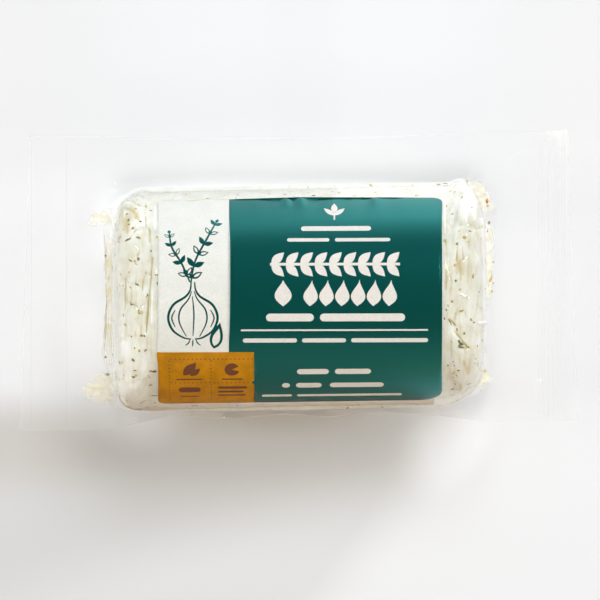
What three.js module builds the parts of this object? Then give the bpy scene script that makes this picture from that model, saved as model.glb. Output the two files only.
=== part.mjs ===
// A short log of fresh cheese with herbs, vacuum-sealed in a clear pouch, with a printed label on its front.
// The pack lies on its back. Millimetres: +X along the log, +Y across it, +Z up.
// The origin is on the surface that the pack lies on, under the middle of the pouch.

import * as THREE from "three";

// The log of cheese
const LOG_LEFT = -37.4;
const LOG_RIGHT = 37.5;
const LOG_CENTRE_Y = -3.9;
const LOG_SKEW = 0.02;
const LOG_HALF_WIDTH = { far: 22.7, near: 21.8 };
const END_LENGTH = 8;
const CORNER_SQUARENESS = 4.5;
const FRONT_HEIGHT = 22;
const FRONT_ROUNDNESS = 2.25;
const END_ROUNDNESS = 4.2;
const END_ROUND_FROM = [0.1, 0.9];
const BACK_DEPTH = 19.6;
const BACK_ROUNDNESS = 3;

// The pouch: two sheets of film that meet in a flat flange, the seam, half way up the log
const SEAM_HEIGHT = 19;
const FLANGE_THICKNESS = 0.5;
const POUCH_CORNERS = {
  nearLeft: { x: -56.6, y: -30.5 },
  nearRight: { x: 56.6, y: -28.3 },
  farRight: { x: 54.7, y: 30.5 },
  farLeft: { x: -54.6, y: 29.3 },
};

// The flange's long edges are drawn in beside the log, and the near one ripples there
const FAR_EDGE_DRAWN_IN = 1;
const NEAR_EDGE_DRAWN_IN = 1.9;
const NEAR_EDGE_DRAWN_SPAN = { left: -29, right: 26, ease: 11 };
const RIPPLE_LENGTH = 20;
const RIPPLE_WIDTH = 0.4;
const RIPPLE_LAG = 1;
const RIPPLE_HEIGHT = 0.7;
const FLANGE_SWAY = 0.8;
const SWAY_LENGTH = 21;
const CURLED_CORNER = { x: 54.7, y: 30.5, reach: 9, lift: 2.6 };

// Film that tents from the log down to the flange: how high it starts and how far it reaches
const SIDE_TENT = { height: 0.9, reach: 0.9 };
const END_TENT = { height: 3.4, reach: 2.4 };
const END_TENT_FROM = [0.5, 0.95];
const TENT_BLEND = 1.2;
const BACK_TENT_SHARE = 0.5;

// Cheese pressed out between the two sheets at the log's corners: low lenses lying along the seam
const CORNER_LENSES = [
  { x: -41.4, y: -22.2, length: 4.6, width: 3.1, turn: 8, height: 0.3 },
  { x: -41.2, y: 13.3, length: 3, width: 2, turn: -6, height: 0.22 },
  { x: 37.8, y: 17.2, length: 5.4, width: 2.2, turn: -48, height: 0.35 },
  { x: 38.2, y: -20.8, length: 1.8, width: 1.8, turn: 0, height: 0.15 },
];

// Where the film is pressed in or stands proud beside the log's ends, round the front and the back alike:
// inwards where depth is positive. low and high are places across the log, from -1 to 1 at its sides.
const HOOP_FOLDS = [
  { x: -30.3, halfWidth: 1.4, depth: 0.5, low: -0.75, high: 1.05 },
  { x: -34.4, halfWidth: 2.6, depth: 0.7, low: 0.55, high: 1.25 },
  { x: 30.9, halfWidth: 1.5, depth: 0.45, low: -0.9, high: 0.95 },
  { x: 36.4, halfWidth: 1.4, depth: -0.4, low: -0.85, high: 0.9 },
  { x: 32.6, halfWidth: 2.8, depth: -0.9, low: 0.6, high: 1.4 },
  { x: 36.4, halfWidth: 7.2, depth: 2, low: -1.4, high: -0.5 },
];

// Creases in the film over the ends of the front, each from one place in plan to another:
// inwards where depth is positive
const FRONT_CREASES = [
  { from: [-30.2, 10], to: [-30.7, -15], halfWidth: 1.3, depth: 0.16 },
  { from: [-34.9, 1.5], to: [-34.7, -7.5], halfWidth: 1.2, depth: 0.17 },
  { from: [-33, 6.5], to: [-32.6, -13], halfWidth: 1.2, depth: -0.12 },
  { from: [-37, 7], to: [-31.2, 10], halfWidth: 1.3, depth: 0.19 },
  { from: [-36.5, 13], to: [-31.4, 14.5], halfWidth: 1.2, depth: -0.21 },
  { from: [-35.5, -17], to: [-30.5, -21], halfWidth: 1.6, depth: 0.21 },
  { from: [30.2, 15], to: [30.4, -19], halfWidth: 1.2, depth: 0.12 },
  { from: [32, 13.5], to: [34.9, 18], halfWidth: 1.2, depth: -0.25 },
  { from: [30.2, 11.3], to: [36.6, 10.6], halfWidth: 1.2, depth: 0.21 },
  { from: [32.6, 8], to: [34.8, -1.5], halfWidth: 1.7, depth: 0.14 },
  { from: [29.8, -7.6], to: [33.8, -13.4], halfWidth: 1.3, depth: 0.19 },
  { from: [33.6, -21], to: [37, -17.4], halfWidth: 1.4, depth: 0.17 },
];

// Heights above the seam between which the creases grow from nothing
const CREASE_FADE = [2, 8];

// Pleats that stand up in the flange where the film gathers at the log's corners
const FLANGE_PLEATS = [
  { from: [-38.5, 19], to: [-45, 22.5], halfWidth: 1.8, height: 0.9 },
  { from: [-40, -17.5], to: [-49, -19], halfWidth: 1.6, height: 0.7 },
  { from: [38.5, 20.5], to: [43, 25], halfWidth: 1.8, height: 0.9 },
  { from: [41, -18], to: [49, -21], halfWidth: 1.8, height: 0.6 },
];
const PLEAT_EASE = 0.2;

// The label: a sheet stuck over the front, from one side of the log to the other. It is stuck on a little
// askew: the turn is how far it runs towards the near side for each millimetre along the log.
const LABEL_LEFT = -28.2;
const LABEL_RIGHT = 28.7;
const LABEL_FAR_ANGLE = 30.7;
const LABEL_NEAR_ANGLE = 155;
const LABEL_TURN = 0.018;
const LABEL_CORNERS = { far: { left: 1.8, right: 1.8 }, near: { left: 1.8, right: 4.4 } };
const LABEL_THICKNESS = 0.3;
const LABEL_GAP = 0.15;
const LABEL_PUCKERS = { places: [-2.5, 0.4], halfWidth: 1.5, height: 0.5, reach: 4.5 };

// Mesh fineness
const FRONT_RINGS = 20;
const BACK_RINGS = 8;
const FRONT_FLANGE_STEPS = [0.07, 0.15, 0.25, 0.38, 0.56, 0.78, 1];
const BACK_FLANGE_STEPS = [0.15, 0.38, 0.7, 1];
const SIDE_STEPS = 16;
const CORNER_STEPS = 5;
const END_STEPS = 18;
const LABEL_ROWS = 22;
const LABEL_COLUMN_WIDTH = 3.6;
const PUCKER_COLUMN_WIDTH = 0.8;
const CORNER_COLUMNS = [0, 0.03, 0.1, 0.25, 0.55];

const mix = (a, b, share) => a + (b - a) * share;

const clamp = (value, low, high) => Math.min(high, Math.max(low, value));

// 0 up to low, 1 from high on, and smooth between
const ease = (value, low, high) => {
  const share = clamp((value - low) / (high - low), 0, 1);
  return share * share * (3 - 2 * share);
};

// 1 at the middle, 0 from one half width away on
const hump = (offset) => {
  const rest = 1 - offset * offset;
  return rest > 0 ? rest * rest : 0;
};

const smoothMax = (a, b, blend) => {
  const share = Math.max(blend - Math.abs(a - b), 0) / blend;
  return Math.max(a, b) + (share * share * blend) / 4;
};

// Height of a section, as a share of its full height, at a level from 0 at its middle to 1 at its side
const sectionHeight = (level, roundness) =>
  Math.pow(Math.max(0, 1 - Math.pow(level, roundness)), 1 / roundness);

// Where the log's axis runs across the pouch, and its half width, which is smaller on its near side
const axisY = (x) => LOG_CENTRE_Y + LOG_SKEW * x;
const halfWidthAt = (across) => (across < 0 ? LOG_HALF_WIDTH.near : LOG_HALF_WIDTH.far);

// Point of the log's front section at an angle about its axis, in degrees from the far side
const frontSectionPoint = (angle) => {
  const turn = THREE.MathUtils.degToRad(angle);
  const across = Math.abs(Math.cos(turn) / halfWidthAt(Math.cos(turn)));
  const up = Math.abs(Math.sin(turn) / FRONT_HEIGHT);
  const power = FRONT_ROUNDNESS;
  const radius = Math.pow(Math.pow(across, power) + Math.pow(up, power), -1 / power);
  return { y: radius * Math.cos(turn), z: radius * Math.sin(turn) };
};

const frontSectionNormal = ({ y, z }) => {
  const power = FRONT_ROUNDNESS;
  const across = (Math.sign(y) * Math.pow(Math.abs(y), power - 1)) / Math.pow(halfWidthAt(y), power);
  const up = Math.pow(z, power - 1) / Math.pow(FRONT_HEIGHT, power);
  const length = Math.hypot(across, up);
  return { y: across / length, z: up / length };
};

// 1 on the line between two places in plan, 0 from one half width away on
const nearLine = (x, y, { from, to, halfWidth }) => {
  const [alongX, alongY] = [to[0] - from[0], to[1] - from[1]];
  const dot = (x - from[0]) * alongX + (y - from[1]) * alongY;
  const share = clamp(dot / (alongX ** 2 + alongY ** 2), 0, 1);
  return hump(Math.hypot(x - from[0] - share * alongX, y - from[1] - share * alongY) / halfWidth);
};

// How far the folds press the film in at a place along the log and across its section
const hoopDepth = (x, across) => {
  let depth = 0;
  for (const fold of HOOP_FOLDS) {
    const middle = (fold.low + fold.high) / 2;
    const half = (fold.high - fold.low) / 2;
    depth += fold.depth * hump((x - fold.x) / fold.halfWidth) * hump((across - middle) / half);
  }
  return depth;
};

const creaseDepth = (x, y) =>
  FRONT_CREASES.reduce((sum, crease) => sum + crease.depth * nearLine(x, y, crease), 0);

const pleatHeight = (x, y) =>
  FLANGE_PLEATS.reduce((sum, pleat) => sum + pleat.height * nearLine(x, y, pleat), 0);

// Half the thickness of the cheese between the sheets, beside the log
const lensHeight = (x, y) => {
  let height = 0;
  for (const lens of CORNER_LENSES) {
    const turn = THREE.MathUtils.degToRad(lens.turn);
    const along = (x - lens.x) * Math.cos(turn) + (y - lens.y) * Math.sin(turn);
    const across = (y - lens.y) * Math.cos(turn) - (x - lens.x) * Math.sin(turn);
    const rest = 1 - (along / lens.length) ** 2 - (across / lens.width) ** 2;
    height = Math.max(height, rest > 0 ? lens.height * Math.sqrt(rest) : 0);
  }
  return height;
};

// 1 where the near edge is drawn in beside the log, 0 towards the pouch's ends
const drawnSpan = (x) => {
  const { left, right, ease: width } = NEAR_EDGE_DRAWN_SPAN;
  return ease(x, left - width, left) * (1 - ease(x, right, right + width));
};

// How far the flange's middle plane lies above the seam's height
const flangeWave = (x, y, share) => {
  const sway = FLANGE_SWAY * Math.sin((x + 2 * y) / SWAY_LENGTH);
  const besideLog = y < LOG_CENTRE_Y ? drawnSpan(x) : 0;
  const ripple = RIPPLE_HEIGHT * Math.cos((2 * Math.PI * x) / RIPPLE_LENGTH) * besideLog;
  const toCorner = Math.hypot(x - CURLED_CORNER.x, y - CURLED_CORNER.y) / CURLED_CORNER.reach;
  const curl = toCorner < 1 ? CURLED_CORNER.lift * (1 - toCorner) ** 2 : 0;
  return share * (sway + ripple) + curl + ease(share, 0, PLEAT_EASE) * pleatHeight(x, y);
};

const farEdge = (x) => {
  const { farLeft, farRight } = POUCH_CORNERS;
  const straight = mix(farLeft.y, farRight.y, (x - farLeft.x) / (farRight.x - farLeft.x));
  return { x, y: straight - FAR_EDGE_DRAWN_IN * hump(x / farRight.x) };
};

const nearEdge = (x) => {
  const { nearLeft, nearRight } = POUCH_CORNERS;
  const straight = mix(nearLeft.y, nearRight.y, (x - nearLeft.x) / (nearRight.x - nearLeft.x));
  const ripple = RIPPLE_WIDTH * Math.cos((2 * Math.PI * x) / RIPPLE_LENGTH + RIPPLE_LAG);
  return { x, y: straight + (NEAR_EDGE_DRAWN_IN + ripple) * drawnSpan(x) };
};

// The rays that both sheets are laid out on: each runs from the log's spine, over the log's outline,
// to the pouch's edge. They go round counter-clockwise, seen from above.
const SPINE_LEFT = LOG_LEFT + END_LENGTH;
const SPINE_RIGHT = LOG_RIGHT - END_LENGTH;
const CORNER_LEVEL = Math.pow(0.5, 1 / CORNER_SQUARENESS);
const RIM_SPREAD = 1.08;

const otherLevel = (level) =>
  Math.pow(Math.max(0, 1 - Math.pow(level, CORNER_SQUARENESS)), 1 / CORNER_SQUARENESS);

// Rays over one end of the log: side is 1 on the right and -1 on the left, and they climb from -Y to +Y
const endRays = (side) => {
  const column = side > 0 ? SIDE_STEPS : 0;
  const spineX = side > 0 ? SPINE_RIGHT : SPINE_LEFT;
  const nearCorner = side > 0 ? POUCH_CORNERS.nearRight : POUCH_CORNERS.nearLeft;
  const farCorner = side > 0 ? POUCH_CORNERS.farRight : POUCH_CORNERS.farLeft;
  const rays = [];
  const add = (along, across, rim) => rays.push({ column, spineX, along: side * along, across, rim });
  for (let step = 1; step < CORNER_STEPS; step += 1) {
    const share = step / CORNER_STEPS;
    const along = CORNER_LEVEL * share;
    add(along, -otherLevel(along), nearEdge(mix(RIM_SPREAD * spineX, nearCorner.x, share)));
  }
  for (let step = 0; step <= END_STEPS; step += 1) {
    const share = step / END_STEPS;
    const across = CORNER_LEVEL * (2 * share - 1);
    const rim = { x: mix(nearCorner.x, farCorner.x, share), y: mix(nearCorner.y, farCorner.y, share) };
    add(otherLevel(Math.abs(across)), across, rim);
  }
  for (let step = CORNER_STEPS - 1; step > 0; step -= 1) {
    const share = step / CORNER_STEPS;
    const along = CORNER_LEVEL * share;
    add(along, otherLevel(along), farEdge(mix(RIM_SPREAD * spineX, farCorner.x, share)));
  }
  return rays;
};

// Rays over one long side of the log, from left to right
const sideRays = (across, edge) => {
  const rays = [];
  for (let column = 0; column <= SIDE_STEPS; column += 1) {
    const spineX = mix(SPINE_LEFT, SPINE_RIGHT, column / SIDE_STEPS);
    rays.push({ column, spineX, along: 0, across, rim: edge(RIM_SPREAD * spineX) });
  }
  return rays;
};

const RAYS = [
  ...sideRays(-1, nearEdge),
  ...endRays(1),
  ...sideRays(1, farEdge).reverse(),
  ...endRays(-1).reverse(),
];

// Place in plan of a ray at a level of the log, with the folds pressed in
const logPlan = (ray, level) => {
  const x = ray.spineX + ray.along * level * END_LENGTH;
  const across = ray.across * level;
  const press = 1 - hoopDepth(x, across) / LOG_HALF_WIDTH.far;
  return { x, y: axisY(x) + across * halfWidthAt(across) * press, press };
};

// Height of the front's tented film at a distance out from the log's outline
const tentHeight = (ray, distance) => {
  const atEnd = ease(Math.abs(ray.along), ...END_TENT_FROM);
  const height = mix(SIDE_TENT.height, END_TENT.height, atEnd);
  const reach = mix(SIDE_TENT.reach, END_TENT.reach, atEnd);
  return height * Math.max(0, 1 - distance / reach) ** 2;
};

// The front and the back sheet: how high each lies on the log and on the flange
const FRONT = {
  onLog: (ray, level, plan) => {
    const roundness = mix(FRONT_ROUNDNESS, END_ROUNDNESS, ease(Math.abs(ray.along), ...END_ROUND_FROM));
    const smooth = FRONT_HEIGHT * sectionHeight(level, roundness) * plan.press;
    const bulge = smooth - creaseDepth(plan.x, plan.y) * ease(smooth, ...CREASE_FADE);
    return SEAM_HEIGHT + smoothMax(bulge, FLANGE_THICKNESS / 2 + tentHeight(ray, 0), TENT_BLEND);
  },
  onFlange: (ray, distance, plan, share) => {
    const rise = Math.max(tentHeight(ray, distance), lensHeight(plan.x, plan.y));
    return SEAM_HEIGHT + FLANGE_THICKNESS / 2 + rise + flangeWave(plan.x, plan.y, share);
  },
};

const BACK = {
  onLog: (ray, level, plan) => {
    const bulge = BACK_DEPTH * sectionHeight(level, BACK_ROUNDNESS) * plan.press;
    const depth = smoothMax(bulge, FLANGE_THICKNESS / 2 + BACK_TENT_SHARE * tentHeight(ray, 0), TENT_BLEND);
    return Math.max(0, SEAM_HEIGHT - depth);
  },
  onFlange: (ray, distance, plan, share) => {
    const rise = Math.max(BACK_TENT_SHARE * tentHeight(ray, distance), lensHeight(plan.x, plan.y));
    return SEAM_HEIGHT - FLANGE_THICKNESS / 2 - rise + flangeWave(plan.x, plan.y, share);
  },
};

// Collects vertices and triangles of one closed surface
class Shell {
  constructor() {
    this.positions = [];
    this.indices = [];
  }

  vertex(x, y, z) {
    this.positions.push(x, y, z);
    return this.positions.length / 3 - 1;
  }

  // Triangles between two rings of equal length: up is true where the ring's outside faces +Z
  band(inner, outer, up) {
    const count = inner.length;
    for (let step = 0; step < count; step += 1) {
      const next = (step + 1) % count;
      this.triangle(inner[step], outer[step], outer[next], up);
      this.triangle(inner[step], outer[next], inner[next], up);
    }
  }

  triangle(a, b, c, up) {
    if (a !== b && b !== c && a !== c) {
      this.indices.push(a, up ? b : c, up ? c : b);
    }
  }

  geometry() {
    const geometry = new THREE.BufferGeometry();
    geometry.setAttribute("position", new THREE.Float32BufferAttribute(this.positions, 3));
    geometry.setIndex(this.indices);
    return geometry;
  }
}

// Levels of the log's rings, from its spine to its outline, at even angles of the section
const ringLevels = (rings) => {
  const levels = [];
  for (let ring = 1; ring <= rings; ring += 1) {
    levels.push(frontSectionPoint(90 - (90 * ring) / rings).y / LOG_HALF_WIDTH.far);
  }
  return levels;
};

// One sheet of the pouch, from the spine of the log to the pouch's edge: returns its outermost ring
const buildSheet = (shell, sheet, rings, flangeSteps, up) => {
  const spine = [];
  for (let column = 0; column <= SIDE_STEPS; column += 1) {
    const ray = { spineX: mix(SPINE_LEFT, SPINE_RIGHT, column / SIDE_STEPS), along: 0, across: 0 };
    const plan = logPlan(ray, 0);
    spine.push(shell.vertex(plan.x, plan.y, sheet.onLog(ray, 0, plan)));
  }
  let inner = RAYS.map((ray) => spine[ray.column]);
  for (const level of ringLevels(rings)) {
    const outer = RAYS.map((ray) => {
      const plan = logPlan(ray, level);
      return shell.vertex(plan.x, plan.y, sheet.onLog(ray, level, plan));
    });
    shell.band(inner, outer, up);
    inner = outer;
  }
  for (const share of flangeSteps) {
    const outer = RAYS.map((ray) => {
      const start = logPlan(ray, 1);
      const plan = { x: mix(start.x, ray.rim.x, share), y: mix(start.y, ray.rim.y, share) };
      const distance = Math.hypot(plan.x - start.x, plan.y - start.y);
      return shell.vertex(plan.x, plan.y, sheet.onFlange(ray, distance, plan, share));
    });
    shell.band(inner, outer, up);
    inner = outer;
  }
  return inner;
};

const buildPouch = () => {
  const shell = new Shell();
  const frontRim = buildSheet(shell, FRONT, FRONT_RINGS, FRONT_FLANGE_STEPS, true);
  const backRim = buildSheet(shell, BACK, BACK_RINGS, BACK_FLANGE_STEPS, false);
  shell.band(frontRim, backRim, true);
  return shell.geometry();
};

// Places of the label's columns along the log: close together at its round corners and at its puckers
const labelColumns = () => {
  const cornersLeft = Math.max(LABEL_CORNERS.far.left, LABEL_CORNERS.near.left);
  const cornersRight = Math.max(LABEL_CORNERS.far.right, LABEL_CORNERS.near.right);
  const columns = [];
  for (const share of CORNER_COLUMNS) {
    columns.push(LABEL_LEFT + share * cornersLeft, LABEL_RIGHT - share * cornersRight);
  }
  const fill = (left, right, width) => {
    const count = Math.ceil((right - left) / width);
    for (let step = 0; step < count; step += 1) {
      columns.push(mix(left, right, step / count));
    }
  };
  const puckerLeft = LABEL_PUCKERS.places[0] - LABEL_PUCKERS.halfWidth;
  const puckerRight = LABEL_PUCKERS.places[1] + LABEL_PUCKERS.halfWidth;
  fill(LABEL_LEFT + cornersLeft, puckerLeft, LABEL_COLUMN_WIDTH);
  fill(puckerLeft, puckerRight, PUCKER_COLUMN_WIDTH);
  fill(puckerRight, LABEL_RIGHT - cornersRight, LABEL_COLUMN_WIDTH);
  columns.push(LABEL_RIGHT - cornersRight);
  return columns.sort((a, b) => a - b);
};

// How much the round corners of one of the label's long sides take off it at a place along it
const cornerCut = (x, { left, right }) => {
  const cut = (radius, toEnd) => {
    const inside = clamp(radius - toEnd, 0, radius);
    return radius - Math.sqrt(radius ** 2 - inside ** 2);
  };
  return cut(left, x - LABEL_LEFT) + cut(right, LABEL_RIGHT - x);
};

const puckerHeight = (x, fromFarEdge) => {
  const { places, halfWidth, height, reach } = LABEL_PUCKERS;
  const ridges = places.reduce((sum, place) => sum + hump((x - place) / halfWidth), 0);
  return height * ridges * hump(fromFarEdge / reach);
};

const buildLabel = () => {
  const shell = new Shell();
  const degreesPerMillimetre = 180 / (Math.PI * LOG_HALF_WIDTH.far);
  const columns = labelColumns();
  const layers = [0, LABEL_THICKNESS].map((depth) =>
    columns.map((x) => {
      const farAngle = LABEL_FAR_ANGLE + cornerCut(x, LABEL_CORNERS.far) * degreesPerMillimetre;
      const nearAngle = LABEL_NEAR_ANGLE - cornerCut(x, LABEL_CORNERS.near) * degreesPerMillimetre;
      const turned = LABEL_TURN * x * degreesPerMillimetre;
      const column = [];
      for (let row = 0; row <= LABEL_ROWS; row += 1) {
        const angle = mix(farAngle, nearAngle, row / LABEL_ROWS);
        const point = frontSectionPoint(angle + turned);
        const normal = frontSectionNormal(point);
        const fromFarEdge = (angle - LABEL_FAR_ANGLE) / degreesPerMillimetre;
        const offset = LABEL_GAP + depth + puckerHeight(x, fromFarEdge);
        const y = axisY(x) + point.y + offset * normal.y;
        column.push(shell.vertex(x, y, SEAM_HEIGHT + point.z + offset * normal.z));
      }
      return column;
    }),
  );
  layers.forEach((layer, side) => {
    for (let step = 0; step + 1 < layer.length; step += 1) {
      for (let row = 0; row < LABEL_ROWS; row += 1) {
        const [a, b] = [layer[step][row], layer[step + 1][row]];
        const [c, d] = [layer[step + 1][row + 1], layer[step][row + 1]];
        shell.triangle(a, b, c, side === 0);
        shell.triangle(a, c, d, side === 0);
      }
    }
  });
  const [inner, outer] = layers.map((layer) => [
    ...layer.map((column) => column[0]),
    ...layer.at(-1).slice(1),
    ...layer.slice(0, -1).map((column) => column[LABEL_ROWS]).reverse(),
    ...layer[0].slice(1, LABEL_ROWS).reverse(),
  ]);
  shell.band(inner, outer, true);
  return shell.geometry();
};

const part = (name, geometry, color, roughness) => {
  const material = new THREE.MeshStandardMaterial({ color, roughness, metalness: 0 });
  const mesh = new THREE.Mesh(geometry, material);
  mesh.name = name;
  return mesh;
};

const pack = new THREE.Group();
pack.add(part("sealed_pouch", buildPouch(), 0xeceada, 0.25));
pack.add(part("label", buildLabel(), 0x0f4a46, 0.45));

export default pack;
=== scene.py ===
"""A short log of fresh cheese with herbs, vacuum-sealed in a clear pouch with a printed label on its front.

The looks of the pack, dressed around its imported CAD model. Sizes are millimetres in the part's own frame:
+X along the log, +Y across it, +Z up out of the label. Meshes are written in metres.
"""

import logging
import math
from dataclasses import dataclass, replace
from enum import Enum

import bpy
import numpy as np
from mathutils import Matrix, Vector, noise
from mathutils.bvhtree import BVHTree
from mathutils.geometry import delaunay_2d_cdt


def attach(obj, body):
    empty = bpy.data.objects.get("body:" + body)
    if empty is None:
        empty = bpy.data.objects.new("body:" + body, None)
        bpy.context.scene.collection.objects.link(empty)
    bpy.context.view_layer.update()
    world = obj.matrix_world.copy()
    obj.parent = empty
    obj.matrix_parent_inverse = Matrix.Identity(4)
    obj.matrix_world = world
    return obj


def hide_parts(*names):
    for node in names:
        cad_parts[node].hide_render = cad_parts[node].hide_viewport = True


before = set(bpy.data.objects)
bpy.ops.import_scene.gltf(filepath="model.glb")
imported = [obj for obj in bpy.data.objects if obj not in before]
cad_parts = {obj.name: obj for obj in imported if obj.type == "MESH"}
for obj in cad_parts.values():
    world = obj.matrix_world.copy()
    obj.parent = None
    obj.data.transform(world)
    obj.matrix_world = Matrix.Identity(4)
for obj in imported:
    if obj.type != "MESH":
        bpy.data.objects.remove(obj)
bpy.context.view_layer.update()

MM = 0.001
BODY = "root"
POUCH_NODE = "sealed_pouch"
LABEL_NODE = "label"
# Without a seed of its own, noise_vector changes from run to run
NOISE_SEED = 1

logging.basicConfig(level=logging.INFO, format="%(message)s")
log = logging.getLogger("cheese pack")

Point = tuple[float, float]
Outline = list[Point]


def hump(offset: np.ndarray) -> np.ndarray:
    """1 at the middle, 0 from one half width away on."""
    rest = np.maximum(0.0, 1.0 - np.square(offset))
    return rest * rest


def ease(value: np.ndarray, low: float, high: float) -> np.ndarray:
    """0 up to low, 1 from high on, and smooth between."""
    share = np.clip((value - low) / (high - low), 0.0, 1.0)
    return share * share * (3.0 - 2.0 * share)


def mix(a: float, b: float, share: np.ndarray) -> np.ndarray:
    """The value that lies a share of the way from a to b."""
    return a + (b - a) * share


def smooth_max(a: np.ndarray, b: np.ndarray, blend: float) -> np.ndarray:
    """The larger of two values, rounded where they are within the blend of each other."""
    share = np.maximum(blend - np.abs(a - b), 0.0) / blend
    return np.maximum(a, b) + share * share * blend / 4.0


def section_height(level: np.ndarray, roundness: float) -> np.ndarray:
    """Height of a section, as a share of its full height, at a level from 0 at its middle to 1 at its side."""
    return np.power(np.maximum(0.0, 1.0 - np.power(level, roundness)), 1.0 / roundness)


def linear(hex_colour: str) -> tuple[float, float, float, float]:
    """Turns an sRGB hex colour into linear red, green, blue and alpha.

    Args:
        hex_colour: six hex digits after a hash sign.

    Returns:
        The four linear values.
    """
    channels = [int(hex_colour[start:start + 2], 16) / 255.0 for start in (1, 3, 5)]
    bright = [((value + 0.055) / 1.055) ** 2.4 if value > 0.04045 else value / 12.92 for value in channels]
    return (bright[0], bright[1], bright[2], 1.0)


def add_node(tree: bpy.types.NodeTree, kind: str, inputs: dict | None = None, **settings) -> bpy.types.Node:
    """Adds a node with its settings, and sets or links its inputs.

    Args:
        tree: the node tree.
        kind: the node's type name.
        inputs: by input name or number, a value or the socket to link from.
        **settings: the node's own properties.

    Returns:
        The new node.
    """
    node = tree.nodes.new(kind)
    for name, value in settings.items():
        setattr(node, name, value)
    for name, value in (inputs or {}).items():
        if isinstance(value, bpy.types.NodeSocket):
            tree.links.new(value, node.inputs[name])
        else:
            node.inputs[name].default_value = value
    return node


def new_material(name: str) -> tuple[bpy.types.Material, bpy.types.NodeTree]:
    """Makes a material with an empty node tree.

    Args:
        name: what the real material is.

    Returns:
        The material and its tree.
    """
    material = bpy.data.materials.new(name)
    material.use_nodes = True
    material.node_tree.nodes.clear()
    return material, material.node_tree


MIX_FACTOR = 0
MIX_A = 6
MIX_B = 7
MIX_RESULT = 2


def blend_colours(tree: bpy.types.NodeTree, factor: object, a: object, b: object) -> bpy.types.NodeSocket:
    """A colour between two colours.

    Args:
        tree: the node tree.
        factor: the share of b, a number or a socket.
        a: a colour or a socket.
        b: a colour or a socket.

    Returns:
        The blended colour's socket.
    """
    node = add_node(tree, "ShaderNodeMix", {MIX_FACTOR: factor, MIX_A: a, MIX_B: b}, data_type="RGBA")
    return node.outputs[MIX_RESULT]


@dataclass(frozen=True)
class CurdFinish:
    """Fresh goat's curd, pressed moist against film: soft, slightly translucent and creamy white."""

    name: str = "fresh_curd"
    cream: str = "#EDEEE3"
    butter: str = "#DFDDCB"
    whey_and_painted_groove_shade: str = "#C6B67C"
    air_and_painted_highlight: str = "#FEFFFA"
    streak_mm: float = 0.55
    streak_stretch: float = 0.09
    mottle_mm: float = 3.2
    crumb_mm: float = 0.9
    speck_mm: float = 1.15
    crumb_height_mm: float = 0.07
    roughness: float = 0.42
    glow_mm: float = 1.6

    def material(self) -> bpy.types.Material:
        """Curd mottled from cream to butter, with faint drowned specks, painted tan in its creases as shade and white
        on its ridges, partly as air under the film and partly as a painted highlight.

        Returns:
            The material. It reads the mesh attribute "crease", which also carries painted light on the log's ends.
        """
        material, tree = new_material(self.name)
        place = add_node(tree, "ShaderNodeTexCoord").outputs["Object"]
        mottle = add_node(tree, "ShaderNodeTexNoise", {
            "Vector": place, "Scale": 1.0 / (self.mottle_mm * MM), "Detail": 4.0, "Roughness": 0.6})
        crumb = add_node(tree, "ShaderNodeTexNoise", {
            "Vector": place, "Scale": 1.0 / (self.crumb_mm * MM), "Detail": 3.0, "Roughness": 0.6})
        body = blend_colours(
            tree,
            add_node(tree, "ShaderNodeMapRange", {
                "Value": mottle.outputs[0], "From Min": 0.38, "From Max": 0.66}).outputs["Result"],
            linear(self.cream), linear(self.butter))
        specks = add_node(tree, "ShaderNodeTexVoronoi", {
            "Vector": place, "Scale": 1.0 / (self.speck_mm * MM), "Randomness": 1.0})
        small = add_node(tree, "ShaderNodeMapRange", {
            "Value": specks.outputs["Distance"], "From Min": 0.06, "From Max": 0.2,
            "To Min": 0.55, "To Max": 0.0})
        gate = add_node(tree, "ShaderNodeMapRange", {
            "Value": crumb.outputs[0], "From Min": 0.46, "From Max": 0.62})
        some = add_node(tree, "ShaderNodeMath", {0: small.outputs["Result"], 1: gate.outputs["Result"]},
                        operation="MULTIPLY")
        drowned = blend_colours(tree, some.outputs["Value"], body, linear(self.whey_and_painted_groove_shade))
        stretched = add_node(tree, "ShaderNodeMapping", {
            "Vector": place, "Scale": (1.0, self.streak_stretch, self.streak_stretch)})
        streaks = add_node(tree, "ShaderNodeTexNoise", {
            "Vector": stretched.outputs["Vector"], "Scale": 1.0 / (self.streak_mm * MM), "Detail": 3.0})
        crease = add_node(tree, "ShaderNodeAttribute", attribute_name="crease").outputs["Fac"]
        wrinkled = add_node(tree, "ShaderNodeMath", {0: streaks.outputs[0], 1: 1.6, 2: crease},
                            operation="MULTIPLY_ADD")
        # Painted shade: the grooves are tinted tan. Painted highlight: the ridges are tinted white, partly for air
        # under the film.
        groove_shade = add_node(tree, "ShaderNodeMapRange", {
            "Value": wrinkled.outputs["Value"], "From Min": 0.95, "From Max": 1.7, "To Max": 0.9})
        ridge = add_node(tree, "ShaderNodeMapRange", {
            "Value": wrinkled.outputs["Value"], "From Min": 0.68, "From Max": -0.1, "To Max": 0.9})
        groove_shaded = blend_colours(tree, groove_shade.outputs["Result"], drowned, linear(self.whey_and_painted_groove_shade))
        colour = blend_colours(tree, ridge.outputs["Result"], groove_shaded, linear(self.air_and_painted_highlight))
        relief = add_node(tree, "ShaderNodeBump", {
            "Height": crumb.outputs[0], "Strength": 0.55, "Distance": self.crumb_height_mm * MM})
        shader = add_node(tree, "ShaderNodeBsdfPrincipled", {
            "Base Color": colour, "Roughness": self.roughness, "IOR": 1.4,
            "Subsurface Weight": 0.35, "Subsurface Radius": (1.0, 0.8, 0.5),
            "Subsurface Scale": self.glow_mm * MM, "Normal": relief.outputs["Normal"]})
        add_node(tree, "ShaderNodeOutputMaterial", {"Surface": shader.outputs[0]})
        return material


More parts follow.
